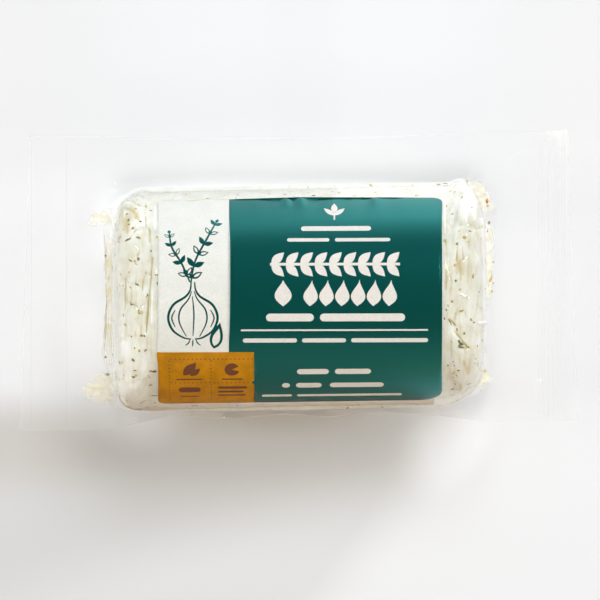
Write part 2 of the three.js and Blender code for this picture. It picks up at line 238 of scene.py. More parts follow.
@dataclass(frozen=True)
class FilmFinish:
    """Clear co-extruded pouch film: glossy, colourless, and hazy only where it is welded or cut; a painted glint lies
    at one curled corner.
    """

    name: str = "clear_pouch_film"
    head_on: float = 0.08
    roughness: float = 0.08
    loose_gloss: float = 0.15
    wrinkle_mm: float = 0.8
    wrinkle_stretch: float = 0.2
    wrinkle_height_mm: float = 0.05
    haze_and_painted_glint: str = "#FFFFFF"

    def material(self) -> bpy.types.Material:
        """Film that shows by its reflections, strongest where it is drawn tight over the cheese.

        Returns:
            The material. It reads the mesh attributes "tight" and "haze".
        """
        material, tree = new_material(self.name)
        place = add_node(tree, "ShaderNodeTexCoord").outputs["Object"]
        stretched = add_node(tree, "ShaderNodeMapping", {
            "Vector": place, "Scale": (1.0, self.wrinkle_stretch, self.wrinkle_stretch)})
        crumple = add_node(tree, "ShaderNodeTexNoise", {
            "Vector": stretched.outputs["Vector"], "Scale": 1.0 / (self.wrinkle_mm * MM), "Detail": 2.0})
        tight = add_node(tree, "ShaderNodeAttribute", attribute_name="tight").outputs["Fac"]
        held = add_node(tree, "ShaderNodeMath", {0: crumple.outputs[0], 1: tight}, operation="MULTIPLY")
        relief = add_node(tree, "ShaderNodeBump", {
            "Height": held.outputs["Value"], "Strength": 0.5, "Distance": self.wrinkle_height_mm * MM})
        slant = add_node(tree, "ShaderNodeLayerWeight", {"Blend": 0.5, "Normal": relief.outputs["Normal"]})
        rise = add_node(tree, "ShaderNodeMath", {0: slant.outputs["Facing"], 1: 5.0}, operation="POWER")
        gloss = add_node(tree, "ShaderNodeMath", {
            0: rise.outputs["Value"], 1: 1.0 - self.head_on, 2: self.head_on}, operation="MULTIPLY_ADD")
        share = add_node(tree, "ShaderNodeMapRange", {"Value": tight, "To Min": self.loose_gloss, "To Max": 1.0})
        factor = add_node(tree, "ShaderNodeMath", {0: gloss.outputs["Value"], 1: share.outputs["Result"]},
                          operation="MULTIPLY")
        clear = add_node(tree, "ShaderNodeBsdfTransparent", {"Color": (1.0, 1.0, 1.0, 1.0)})
        mirror = add_node(tree, "ShaderNodeBsdfAnisotropic", {
            "Color": (1.0, 1.0, 1.0, 1.0), "Roughness": self.roughness, "Normal": relief.outputs["Normal"]})
        film = add_node(tree, "ShaderNodeMixShader", {
            0: factor.outputs["Value"], 1: clear.outputs[0], 2: mirror.outputs[0]})
        # The white mixed in here is milkiness of the film and its cut rim, and at the curled corner a painted glint.
        haze_and_painted_glint = add_node(tree, "ShaderNodeAttribute", attribute_name="haze_and_painted_glint").outputs["Fac"]
        milky = add_node(tree, "ShaderNodeBsdfDiffuse", {"Color": linear(self.haze_and_painted_glint)})
        surface = add_node(tree, "ShaderNodeMixShader", {0: haze_and_painted_glint, 1: film.outputs[0], 2: milky.outputs[0]})
        add_node(tree, "ShaderNodeOutputMaterial", {"Surface": surface.outputs[0]})
        return material


@dataclass(frozen=True)
class HerbFinish:
    """Dried herb or spice, broken small: matt, uneven in colour from flake to flake."""

    name: str
    dark: str
    light: str
    patch_mm: float = 0.8
    roughness: float = 0.6

    def material(self) -> bpy.types.Material:
        """Colour that changes within each flake and between neighbours."""
        material, tree = new_material(self.name)
        place = add_node(tree, "ShaderNodeTexCoord").outputs["Object"]
        patches = add_node(tree, "ShaderNodeTexNoise", {
            "Vector": place, "Scale": 1.0 / (self.patch_mm * MM), "Detail": 2.0})
        share = add_node(tree, "ShaderNodeMapRange", {
            "Value": patches.outputs[0], "From Min": 0.35, "From Max": 0.65})
        colour = blend_colours(tree, share.outputs["Result"], linear(self.dark), linear(self.light))
        shader = add_node(tree, "ShaderNodeBsdfPrincipled", {"Base Color": colour, "Roughness": self.roughness})
        add_node(tree, "ShaderNodeOutputMaterial", {"Surface": shader.outputs[0]})
        return material


@dataclass(frozen=True)
class InkFinish:
    """Printing ink on coated label paper under a satin film laminate."""

    name: str
    colour: str
    sheen: str = "#FFFFFF"
    ior: float = 1.4
    roughness: float = 0.3
    laminate: float = 0.25
    gloss: float = 0.24
    grain_mm: float = 0.28
    grain_height_mm: float = 0.006
    blotch: float = 0.02
    blotch_mm: float = 2.2

    def material(self) -> bpy.types.Material:
        """An even colour with the fine tooth of the paper showing through the laminate."""
        material, tree = new_material(self.name)
        place = add_node(tree, "ShaderNodeTexCoord").outputs["Object"]
        grain = add_node(tree, "ShaderNodeTexNoise", {
            "Vector": place, "Scale": 1.0 / (self.grain_mm * MM), "Detail": 2.0})
        tone = add_node(tree, "ShaderNodeMapRange", {
            "Value": grain.outputs[0], "From Min": 0.3, "From Max": 0.7, "To Min": 0.94, "To Max": 1.06})
        cloud = add_node(tree, "ShaderNodeTexNoise", {
            "Vector": place, "Scale": 1.0 / (self.blotch_mm * MM), "Detail": 3.0})
        uneven = add_node(tree, "ShaderNodeMapRange", {
            "Value": cloud.outputs[0], "From Min": 0.35, "From Max": 0.65,
            "To Min": 1.0 - self.blotch, "To Max": 1.0 + self.blotch})
        both = add_node(tree, "ShaderNodeMath", {0: tone.outputs["Result"], 1: uneven.outputs["Result"]},
                        operation="MULTIPLY")
        colour = add_node(tree, "ShaderNodeVectorMath", {
            0: linear(self.colour)[:3], 1: both.outputs["Value"]}, operation="MULTIPLY")
        relief = add_node(tree, "ShaderNodeBump", {
            "Height": grain.outputs[0], "Strength": 0.4, "Distance": self.grain_height_mm * MM})
        shader = add_node(tree, "ShaderNodeBsdfPrincipled", {
            "Base Color": colour.outputs[0], "Roughness": self.roughness, "IOR": self.ior,
            "Specular Tint": linear(self.sheen), "Coat Weight": self.laminate, "Coat Roughness": self.gloss,
            "Normal": relief.outputs["Normal"], "Coat Normal": relief.outputs["Normal"]})
        add_node(tree, "ShaderNodeOutputMaterial", {"Surface": shader.outputs[0]})
        return material


@dataclass(frozen=True)
class SmearFinish:
    """Curd smeared thin between two sheets of film: pale, and see-through where it runs out."""

    name: str = "smeared_curd"
    pale: str = "#FDFBEC"
    rich: str = "#F1E8C6"
    streak_mm: float = 1.6
    roughness: float = 0.5

    def material(self) -> bpy.types.Material:
        """Curd streaked along the log, its cover read from the mesh attribute "cover"."""
        material, tree = new_material(self.name)
        place = add_node(tree, "ShaderNodeTexCoord").outputs["Object"]
        turned = add_node(tree, "ShaderNodeMapping", {"Vector": place, "Scale": (0.35, 1.0, 1.0)})
        streaks = add_node(tree, "ShaderNodeTexNoise", {
            "Vector": turned.outputs["Vector"], "Scale": 1.0 / (self.streak_mm * MM), "Detail": 3.0})
        share = add_node(tree, "ShaderNodeMapRange", {
            "Value": streaks.outputs[0], "From Min": 0.4, "From Max": 0.68})
        colour = blend_colours(tree, share.outputs["Result"], linear(self.pale), linear(self.rich))
        cover = add_node(tree, "ShaderNodeAttribute", attribute_name="cover").outputs["Fac"]
        clear = add_node(tree, "ShaderNodeBsdfTransparent", {"Color": (1.0, 1.0, 1.0, 1.0)})
        curd = add_node(tree, "ShaderNodeBsdfPrincipled", {
            "Base Color": colour, "Roughness": self.roughness, "IOR": 1.4})
        surface = add_node(tree, "ShaderNodeMixShader", {0: cover, 1: clear.outputs[0], 2: curd.outputs[0]})
        add_node(tree, "ShaderNodeOutputMaterial", {"Surface": surface.outputs[0]})
        return material


CURD = CurdFinish()
SMEAR = SmearFinish()
FILM = FilmFinish()
LEAF = HerbFinish("dried_leaf", "#6C6E52", "#A0A280")
OLIVE = HerbFinish("dried_olive_leaf", "#8A8144", "#B7AA6C")
STALK = HerbFinish("dried_stalk", "#6A4C2E", "#9A7A52")
GRANULE = HerbFinish("garlic_granule", "#CBAF62", "#E2D09A")
PEPPER = HerbFinish("red_pepper_flake", "#B3633A", "#D0975C")


class Ink(Enum):
    """The label's printing inks, in the order that they take in the label's material slots."""

    TEAL = InkFinish("teal_ink", "#04403B", sheen="#50FFFF", ior=2.35, laminate=0.3)
    CREAM = InkFinish("cream_paper", "#E1E2DA", ior=1.58)
    WHITE = InkFinish("white_print", "#DEDAD2")
    OCHRE = InkFinish("ochre_ink", "#BA7D04", ior=1.25, laminate=0.0, blotch=0.12)
    BROWN = InkFinish("brown_ink", "#6E3E22")
    PAPER = InkFinish("paper_back", "#EFECE4", roughness=0.5)


@dataclass(frozen=True)
class Crease:
    """A straight crease or ridge, given in plan: pressed in where its depth is positive."""

    start: Point
    end: Point
    half_width: float
    depth: float

    def at(self, x: np.ndarray, y: np.ndarray) -> np.ndarray:
        """How far the crease presses in at places in plan."""
        along_x = self.end[0] - self.start[0]
        along_y = self.end[1] - self.start[1]
        dot = (x - self.start[0]) * along_x + (y - self.start[1]) * along_y
        share = np.clip(dot / (along_x ** 2 + along_y ** 2), 0.0, 1.0)
        away = np.hypot(x - self.start[0] - share * along_x, y - self.start[1] - share * along_y)
        return self.depth * hump(away / self.half_width)


@dataclass(frozen=True)
class FineFold:
    """A thin fold of film along a line in plan: pressed in where its depth is positive, raised where not."""

    line: tuple[Point, ...]
    half_width: float
    depth: float

    def at(self, x: np.ndarray, y: np.ndarray) -> np.ndarray:
        """How far the fold presses in at places in plan."""
        reach = [Crease(start, end, self.half_width, 1.0).at(x, y) for start, end in zip(self.line, self.line[1:])]
        return self.depth * np.maximum.reduce(reach)


@dataclass(frozen=True)
class Tone:
    """A patch of the curd in plan: darker and tan where its shade is positive; paler where not, which is painted light.
    """

    middle: Point
    reach_x: float
    reach_y: float
    shade: float

    def at(self, x: np.ndarray, y: np.ndarray) -> np.ndarray:
        """How strong the patch is at places in plan."""
        return self.shade * hump(np.hypot((x - self.middle[0]) / self.reach_x, (y - self.middle[1]) / self.reach_y))


@dataclass(frozen=True)
class HoopFold:
    """A fold that runs round the log, over a stretch of its section from low to high."""

    x: float
    half_width: float
    depth: float
    low: float
    high: float

    def at(self, x: np.ndarray, across: np.ndarray) -> np.ndarray:
        """How far the fold presses in at places along the log and across its section."""
        middle = (self.low + self.high) / 2.0
        half = (self.high - self.low) / 2.0
        return self.depth * hump((x - self.x) / self.half_width) * hump((across - middle) / half)


@dataclass(frozen=True)
class CheeseLens:
    """Cheese pressed out between the two sheets: a low lens lying along the seam."""

    x: float
    y: float
    length: float
    width: float
    turn: float
    height: float

    def at(self, x: np.ndarray, y: np.ndarray) -> np.ndarray:
        """Half the lens's thickness at places in plan."""
        turn = math.radians(self.turn)
        along = (x - self.x) * math.cos(turn) + (y - self.y) * math.sin(turn)
        across = (y - self.y) * math.cos(turn) - (x - self.x) * math.sin(turn)
        rest = 1.0 - (along / self.length) ** 2 - (across / self.width) ** 2
        return self.height * np.square(np.maximum(0.0, rest))


@dataclass(frozen=True)
class Tent:
    """Film that spans from the log down to the flange: how high it starts and how far out it reaches."""

    height: float
    reach: float


class Sheet(Enum):
    """The pouch's two sheets of film."""

    FRONT = 1
    BACK = -1


@dataclass(frozen=True)
class Fineness:
    """How many rays and rings a mesh of the pack has."""

    side_steps: int = 106
    corner_steps: int = 16
    end_steps: int = 146
    front_rings: int = 96
    back_rings: int = 24


@dataclass(frozen=True)
class Rays:
    """Rays from the log's spine, over the log's outline, to the pouch's edge, counter-clockwise from above."""

    column: np.ndarray
    spine_x: np.ndarray
    along: np.ndarray
    across: np.ndarray
    rim_x: np.ndarray
    rim_y: np.ndarray


CORNER_LENSES = (
    CheeseLens(-41.4, -22.2, 4.6, 3.1, 8.0, 0.3),
    CheeseLens(-41.2, 13.3, 3.0, 2.0, -6.0, 0.22),
    CheeseLens(37.8, 17.2, 5.4, 2.2, -48.0, 0.35),
    CheeseLens(38.2, -20.8, 1.8, 1.8, 0.0, 0.15),
)
HOOP_FOLDS = (
    HoopFold(-30.3, 1.4, 0.5, -0.75, 1.05),
    HoopFold(-34.4, 2.6, 0.7, 0.55, 1.25),
    HoopFold(30.9, 1.5, 0.45, -0.9, 0.95),
    HoopFold(36.4, 1.4, -0.4, -0.85, 0.9),
    HoopFold(32.6, 2.8, -0.9, 0.6, 1.4),
    HoopFold(36.4, 7.2, 2.0, -1.4, -0.5),
)
FRONT_CREASES = (
    Crease((-30.2, 10.0), (-30.7, -15.0), 1.3, 0.16),
    Crease((-34.9, 1.5), (-34.7, -7.5), 1.2, 0.17),
    Crease((-33.0, 6.5), (-32.6, -13.0), 1.2, -0.12),
    Crease((-37.0, 7.0), (-31.2, 10.0), 1.3, 0.19),
    Crease((-36.5, 13.0), (-31.4, 14.5), 1.2, -0.21),
    Crease((-35.5, -17.0), (-30.5, -21.0), 1.6, 0.21),
    Crease((30.2, 15.0), (30.4, -19.0), 1.2, 0.12),
    Crease((32.0, 13.5), (34.9, 18.0), 1.2, -0.25),
    Crease((30.2, 11.3), (36.6, 10.6), 1.2, 0.21),
    Crease((32.6, 8.0), (34.8, -1.5), 1.7, 0.14),
    Crease((29.8, -7.6), (33.8, -13.4), 1.3, 0.19),
    Crease((33.6, -21.0), (37.0, -17.4), 1.4, 0.17),
)
FLANGE_PLEATS = (
    Crease((-38.5, 19.0), (-45.0, 22.5), 1.8, 0.9),
    Crease((-40.0, -17.5), (-49.0, -19.0), 1.6, 0.7),
    Crease((38.5, 20.5), (43.0, 25.0), 1.8, 0.9),
    Crease((41.0, -18.0), (49.0, -21.0), 1.8, 0.6),
)


# Through the curd's crease attribute, folds pressed in are also painted tan as shade, and raised folds painted white as
# highlight.
LEFT_FOLDS = (
    FineFold(((-37.5, 10.5), (-37.2, 13.5), (-36.2, 14.4)), 0.27, 0.34),
    FineFold(((-35.6, 14.9), (-33.6, 14.2), (-32.2, 13.2), (-31.7, 11.8)), 0.4, 0.3),
    FineFold(((-35.8, 15.8), (-33.2, 15.2), (-31.2, 14.0), (-31.0, 10.6)), 0.36, -0.45),
    FineFold(((-34.4, 16.2), (-32.8, 15.7), (-31.8, 15.0)), 0.24, 0.23),
    FineFold(((-30.8, 16.0), (-30.5, 14.5)), 0.24, 0.25),
    FineFold(((-30.5, 12.6), (-30.4, 11.0), (-29.8, 10.0), (-29.7, 7.6)), 0.27, 0.29),
    FineFold(((-29.2, 4.4), (-29.4, 0.0), (-29.9, -4.0), (-30.3, -10.5)), 0.26, 0.34),
    FineFold(((-30.0, -11.5), (-30.1, -14.0)), 0.24, 0.18),
    FineFold(((-30.4, 1.5), (-30.8, -0.5), (-31.0, -2.0)), 0.24, 0.26),
    FineFold(((-30.6, 1.4), (-29.6, 1.1)), 0.24, 0.23),
    FineFold(((-28.8, 15.0), (-28.6, 12.5), (-28.7, 10.0)), 0.36, -0.45),
    FineFold(((-28.1, 15.5), (-28.0, 12.0), (-28.3, 8.5)), 0.24, 0.25),
    FineFold(((-36.9, 8.6), (-36.1, 10.2)), 0.27, 0.34),
    FineFold(((-36.6, 7.4), (-35.6, 8.6)), 0.27, 0.26),
    FineFold(((-33.4, 8.7), (-32.4, 9.8), (-31.3, 10.4)), 0.27, 0.31),
    FineFold(((-31.5, 5.6), (-32.2, 4.4)), 0.27, 0.23),
    FineFold(((-37.0, 4.8), (-36.6, 2.4), (-36.2, -1.8)), 0.27, 0.26),
    FineFold(((-35.4, 1.2), (-35.0, -0.2)), 0.27, 0.21),
    FineFold(((-34.5, 0.2), (-34.6, -5.8)), 0.36, 0.25),
    FineFold(((-28.3, -3.0), (-28.2, -10.2)), 0.24, 0.2),
    FineFold(((-28.8, 3.5), (-29.3, -8.5)), 0.24, -0.3),
    FineFold(((-35.7, -20.5), (-35.6, -23.5), (-34.4, -25.0)), 0.48, -0.4),
    FineFold(((-34.6, -20.8), (-31.8, -20.0)), 0.4, 0.16),
)
RIGHT_FOLDS = (
    FineFold(((29.4, 16.0), (29.1, 12.5), (29.1, 9.5)), 0.32, -0.4),
    FineFold(((29.9, 15.0), (29.6, 12.0), (29.4, 9.0)), 0.28, 0.18),
    FineFold(((30.4, 11.0), (30.7, 14.0), (31.6, 16.0)), 0.36, -0.4),
    FineFold(((30.9, 11.0), (31.4, 13.5), (32.2, 15.6), (32.4, 17.5)), 0.32, 0.16),
    FineFold(((33.2, 12.0), (33.6, 17.0)), 0.36, -0.3),
    FineFold(((35.0, 12.0), (35.2, 16.5)), 0.36, -0.3),
    FineFold(((31.8, 11.0), (34.4, 10.9)), 0.28, 0.18),
    FineFold(((34.9, 10.6), (35.5, 10.2), (36.3, 10.5)), 0.28, 0.18),
    FineFold(((29.4, 8.0), (29.5, 4.6)), 0.28, 0.16),
    FineFold(((29.3, 3.0), (29.2, -2.0)), 0.28, 0.16),
    FineFold(((31.4, 7.2), (31.3, 4.0)), 0.32, 0.24),
    FineFold(((32.4, 7.0), (32.7, 4.2)), 0.32, 0.16),
    FineFold(((36.6, 12.0), (37.0, 6.0), (37.2, -3.0), (37.1, -14.0)), 0.64, -0.45),
    FineFold(((32.2, -2.8), (33.6, -3.6)), 0.32, -0.4),
    FineFold(((30.0, -7.8), (31.0, -9.0)), 0.28, 0.35),
    FineFold(((31.0, -10.3), (33.5, -13.3)), 0.32, 0.4),
    FineFold(((31.6, -13.5), (33.4, -13.6)), 0.28, 0.18),
    FineFold(((35.8, -8.6), (37.4, -8.5)), 0.4, -0.45),
    FineFold(((30.2, -12.5), (30.5, -17.0)), 0.32, 0.16),
    FineFold(((36.9, -11.8), (37.0, -15.0)), 0.28, 0.2),
    FineFold(((33.0, -22.8), (34.2, -21.6), (36.4, -20.8)), 0.48, 0.28),
    FineFold(((37.2, -20.0), (36.2, -22.6), (34.6, -24.2)), 0.48, -0.35),
    FineFold(((28.8, -13.0), (28.6, -18.0), (27.9, -21.5)), 0.32, -0.3),
)
# Painted light: the pale patches are a painted highlight on the right end's top corner and painted light on the left
# end's near part; the others are darker tan patches.
CURD_TONES_AND_PAINTED_LIGHT = (
    Tone((34.0, 15.0), 3.6, 5.2, -1.0),
    Tone((-34.0, -21.0), 3.4, 4.2, -0.9),
    Tone((-34.5, -13.0), 2.8, 8.0, -0.8),
    Tone((-34.6, 12.0), 3.2, 3.4, 0.7),
    Tone((-36.0, 8.2), 1.5, 1.6, 0.35),
    Tone((32.0, 2.6), 1.6, 4.0, 0.6),
    Tone((34.2, 1.8), 1.8, 4.0, 0.55),
    Tone((33.4, 7.7), 1.3, 1.2, 0.35),
    Tone((36.9, 10.7), 0.6, 0.8, 0.8),
    Tone((33.0, -16.0), 3.0, 4.0, 0.3),
    Tone((35.0, -21.3), 2.2, 1.2, 0.4),
)


@dataclass(frozen=True)
class PackForm:
    """The form of the log in its pouch, as the CAD model has it, in millimetres.

    A smaller form of the same kind is the cheese inside.
    """

    log_left: float = -37.4
    log_right: float = 37.5
    centre_y: float = -3.9
    skew: float = 0.02
    half_width: float = 22.7
    near_half_width: float = 21.8
    end_length: float = 8.0
    squareness: float = 4.5
    front_height: float = 22.0
    front_roundness: float = 2.25
    end_roundness: float = 4.2
    end_round_from: tuple[float, float] = (0.1, 0.9)
    back_depth: float = 19.6
    back_roundness: float = 3.0
    lowest: float = 0.0
    seam: float = 19.0
    flange: float = 0.5
    near_left: Point = (-56.6, -30.5)
    near_right: Point = (56.6, -28.3)
    far_right: Point = (54.7, 30.5)
    far_left: Point = (-54.6, 29.3)
    far_drawn_in: float = 1.0
    near_drawn_in: float = 1.9
    drawn_left: float = -29.0
    drawn_right: float = 26.0
    drawn_ease: float = 11.0
    ripple_length: float = 20.0
    ripple_width: float = 0.4
    ripple_lag: float = 1.0
    ripple_height: float = 0.7
    sway: float = 0.8
    sway_length: float = 21.0
    curl_reach: float = 9.0
    curl_lift: float = 2.6
    side_tent: Tent = Tent(0.9, 0.9)
    end_tent: Tent = Tent(3.4, 2.4)
    end_tent_from: tuple[float, float] = (0.5, 0.95)
    tent_blend: float = 1.2
    back_tent_share: float = 0.5
    crease_fade: tuple[float, float] = (2.0, 8.0)
    pleat_ease: float = 0.2
    rim_spread: float = 1.08

    @property
    def spine_left(self) -> float:
        """Where the log's spine starts."""
        return self.log_left + self.end_length

    @property
    def spine_right(self) -> float:
        """Where the log's spine ends."""
        return self.log_right - self.end_length

    def axis_y(self, x: np.ndarray) -> np.ndarray:
        """Where the log's axis runs across the pouch."""
        return self.centre_y + self.skew * x

    def half_width_at(self, across: np.ndarray) -> np.ndarray:
        """The log's half width, which is smaller on its near side."""
        return np.where(np.asarray(across) < 0.0, self.near_half_width, self.half_width)

    def drawn_span(self, x: np.ndarray) -> np.ndarray:
        """1 where the near edge is drawn in beside the log, 0 towards the pouch's ends."""
        rise = ease(x, self.drawn_left - self.drawn_ease, self.drawn_left)
        return rise * (1.0 - ease(x, self.drawn_right, self.drawn_right + self.drawn_ease))

    def far_edge(self, x: float) -> Point:
        """The pouch's far edge at a place along it."""
        share = (x - self.far_left[0]) / (self.far_right[0] - self.far_left[0])
        straight = mix(self.far_left[1], self.far_right[1], share)
        return x, float(straight - self.far_drawn_in * hump(x / self.far_right[0]))

    def near_edge(self, x: float) -> Point:
        """The pouch's near edge at a place along it, with its ripple."""
        share = (x - self.near_left[0]) / (self.near_right[0] - self.near_left[0])
        straight = mix(self.near_left[1], self.near_right[1], share)
        turn = 2.0 * math.pi * x / self.ripple_length + self.ripple_lag
        drawn = (self.near_drawn_in + self.ripple_width * math.cos(turn)) * self.drawn_span(x)
        return x, float(straight + drawn)

    def side_rays(self, across: int, steps: int) -> list[tuple]:
        """Rays over one long side of the log, from left to right."""
        rays = []
        for column in range(steps + 1):
            spine_x = mix(self.spine_left, self.spine_right, column / steps)
            edge = self.near_edge if across < 0 else self.far_edge
            rays.append((column, spine_x, 0.0, float(across), *edge(self.rim_spread * spine_x)))
        return rays

    def end_rays(self, side: int, fineness: Fineness) -> list[tuple]:
        """Rays over one end of the log, climbing from -Y to +Y.

        Args:
            side: 1 for the right end and -1 for the left one.
            fineness: how many rays there are.

        Returns:
            The rays, each as column, spine place, along, across and rim place.
        """
        column = fineness.side_steps if side > 0 else 0
        spine_x = self.spine_right if side > 0 else self.spine_left
        near = self.near_right if side > 0 else self.near_left
        far = self.far_right if side > 0 else self.far_left
        corner = 0.5 ** (1.0 / self.squareness)

        def other(level: float) -> float:
            """The level on the other axis of a place on the log's outline."""
            return max(0.0, 1.0 - level ** self.squareness) ** (1.0 / self.squareness)

        steps = fineness.corner_steps
        rays = []
        for step in range(1, steps):
            along = corner * step / steps
            rim = self.near_edge(mix(self.rim_spread * spine_x, near[0], step / steps))
            rays.append((column, spine_x, side * along, -other(along), *rim))
        for step in range(fineness.end_steps + 1):
            share = step / fineness.end_steps
            across = corner * (2.0 * share - 1.0)
            rim = (mix(near[0], far[0], share), mix(near[1], far[1], share))
            rays.append((column, spine_x, side * other(abs(across)), across, *rim))
        for step in range(steps - 1, 0, -1):
            along = corner * step / steps
            rim = self.far_edge(mix(self.rim_spread * spine_x, far[0], step / steps))
            rays.append((column, spine_x, side * along, other(along), *rim))
        return rays

    def rays(self, fineness: Fineness) -> Rays:
        """All rays, once round the pack."""
        found = [
            *self.side_rays(-1, fineness.side_steps),
            *self.end_rays(1, fineness),
            *reversed(self.side_rays(1, fineness.side_steps)),
            *reversed(self.end_rays(-1, fineness)),
        ]
        columns = np.array(found, float).T
        return Rays(columns[0].astype(int), *columns[1:])

    def log_plan(self, rays: Rays, level: np.ndarray) -> tuple[np.ndarray, np.ndarray, np.ndarray]:
        """Places in plan of rays at levels of the log, with the folds pressed in, and how far they press."""
        x = rays.spine_x + rays.along * level * self.end_length
        across = rays.across * level
        depth = sum(fold.at(x, across) for fold in HOOP_FOLDS)
        press = 1.0 - depth / self.half_width
        return x, self.axis_y(x) + across * self.half_width_at(across) * press, press

    def tent_reach(self, rays: Rays) -> np.ndarray:
        """How far out the tented film reaches on each ray."""
        at_end = ease(np.abs(rays.along), *self.end_tent_from)
        return mix(self.side_tent.reach, self.end_tent.reach, at_end)

    def tent(self, rays: Rays, distance: np.ndarray) -> np.ndarray:
        """Height of the tented film at distances out from the log's outline."""
        at_end = ease(np.abs(rays.along), *self.end_tent_from)
        height = mix(self.side_tent.height, self.end_tent.height, at_end)
        return height * np.square(np.maximum(0.0, 1.0 - distance / self.tent_reach(rays)))

    def wave(self, x: np.ndarray, y: np.ndarray, share: np.ndarray) -> np.ndarray:
        """How far the flange's middle plane lies above the seam's height."""
        sway = self.sway * np.sin((x + 2.0 * y) / self.sway_length)
        beside = np.where(y < self.centre_y, self.drawn_span(x), 0.0)
        ripple = self.ripple_height * np.cos(2.0 * math.pi * x / self.ripple_length) * beside
        to_corner = np.hypot(x - self.far_right[0], y - self.far_right[1]) / self.curl_reach
        curl = self.curl_lift * np.square(np.maximum(0.0, 1.0 - to_corner))
        pleats = sum(pleat.at(x, y) for pleat in FLANGE_PLEATS)
        return share * (sway + ripple) + curl + ease(share, 0.0, self.pleat_ease) * pleats

    def height_on_log(self, sheet: Sheet, rays: Rays, level: np.ndarray) -> np.ndarray:
        """Places of one sheet over the log.

        Args:
            sheet: the front or the back.
            rays: the rays.
            level: levels from 0 at the spine to 1 at the log's outline, one row for each ring.

        Returns:
            The places, by ring, ray and axis.
        """
        x, y, press = self.log_plan(rays, level)
        foot = self.flange / 2.0 + self.tent(rays, 0.0) * (1.0 if sheet is Sheet.FRONT else self.back_tent_share)
        if sheet is Sheet.FRONT:
            at_end = ease(np.abs(rays.along), *self.end_round_from)
            roundness = mix(self.front_roundness, self.end_roundness, at_end)
            smooth = self.front_height * section_height(level, roundness) * press
            creases = sum(crease.at(x, y) for crease in FRONT_CREASES)
            bulge = smooth - creases * ease(smooth, *self.crease_fade)
            z = self.seam + smooth_max(bulge, foot, self.tent_blend)
        else:
            bulge = self.back_depth * section_height(level, self.back_roundness) * press
            z = np.maximum(self.lowest, self.seam - smooth_max(bulge, foot, self.tent_blend))
        return np.stack(np.broadcast_arrays(x, y, z), axis=-1)

    def height_on_flange(self, sheet: Sheet, rays: Rays, distance: np.ndarray, lenses: bool) -> np.ndarray:
        """Places of one sheet over the flange.

        Args:
            sheet: the front or the back.
            rays: the rays.
            distance: distances out from the log's outline, one row for each ring.
            lenses: whether the sheet stands off over the cheese pressed out at the corners.

        Returns:
            The places, by ring, ray and axis.
        """
        start_x, start_y, _ = self.log_plan(rays, np.ones(1))
        length = np.hypot(rays.rim_x - start_x, rays.rim_y - start_y)
        share = distance / length
        x = mix(start_x, rays.rim_x, share)
        y = mix(start_y, rays.rim_y, share)
        rise = self.tent(rays, distance) * (1.0 if sheet is Sheet.FRONT else self.back_tent_share)
        if lenses:
            for lens in CORNER_LENSES:
                rise = np.maximum(rise, lens.at(x, y))
        z = self.seam + sheet.value * (self.flange / 2.0 + rise) + self.wave(x, y, share)
        return np.stack(np.broadcast_arrays(x, y, z), axis=-1)

    def flange_length(self, rays: Rays) -> np.ndarray:
        """The flange's width along each ray."""
        x, y, _ = self.log_plan(rays, np.ones(1))
        return np.hypot(rays.rim_x - x, rays.rim_y - y)

    def front_section(self, angle: np.ndarray) -> tuple[np.ndarray, np.ndarray, np.ndarray, np.ndarray]:
        """Points of the log's front section and its outward directions.

        Args:
            angle: angles about the log's axis, in degrees from the far side.

        Returns:
            The points' places across and up, and the directions' two parts.
        """
        turn = np.radians(angle)
        power = self.front_roundness
        half_width = self.half_width_at(np.cos(turn))
        across = np.abs(np.cos(turn) / half_width) ** power
        up = np.abs(np.sin(turn) / self.front_height) ** power
        radius = (across + up) ** (-1.0 / power)
        y = radius * np.cos(turn)
        z = radius * np.sin(turn)
        normal_y = np.sign(y) * np.abs(y) ** (power - 1.0) / half_width ** power
        normal_z = z ** (power - 1.0) / self.front_height ** power
        length = np.hypot(normal_y, normal_z)
        return y, z, normal_y / length, normal_z / length


@dataclass(frozen=True)
class LabelPlan:
    """The label's flat cut, in millimetres: x along the log, s down from the far edge over the front."""

    left: float = -28.2
    right: float = 28.7
    turn: float = -0.018
    far_trim: float = 0.5
    far_angle: float = 29.4
    near_angle: float = 155.0
    corner: float = 1.8
    near_right_corner: float = 4.4
    gap: float = 0.12
    thickness: float = 0.14
    table_steps: int = 2400


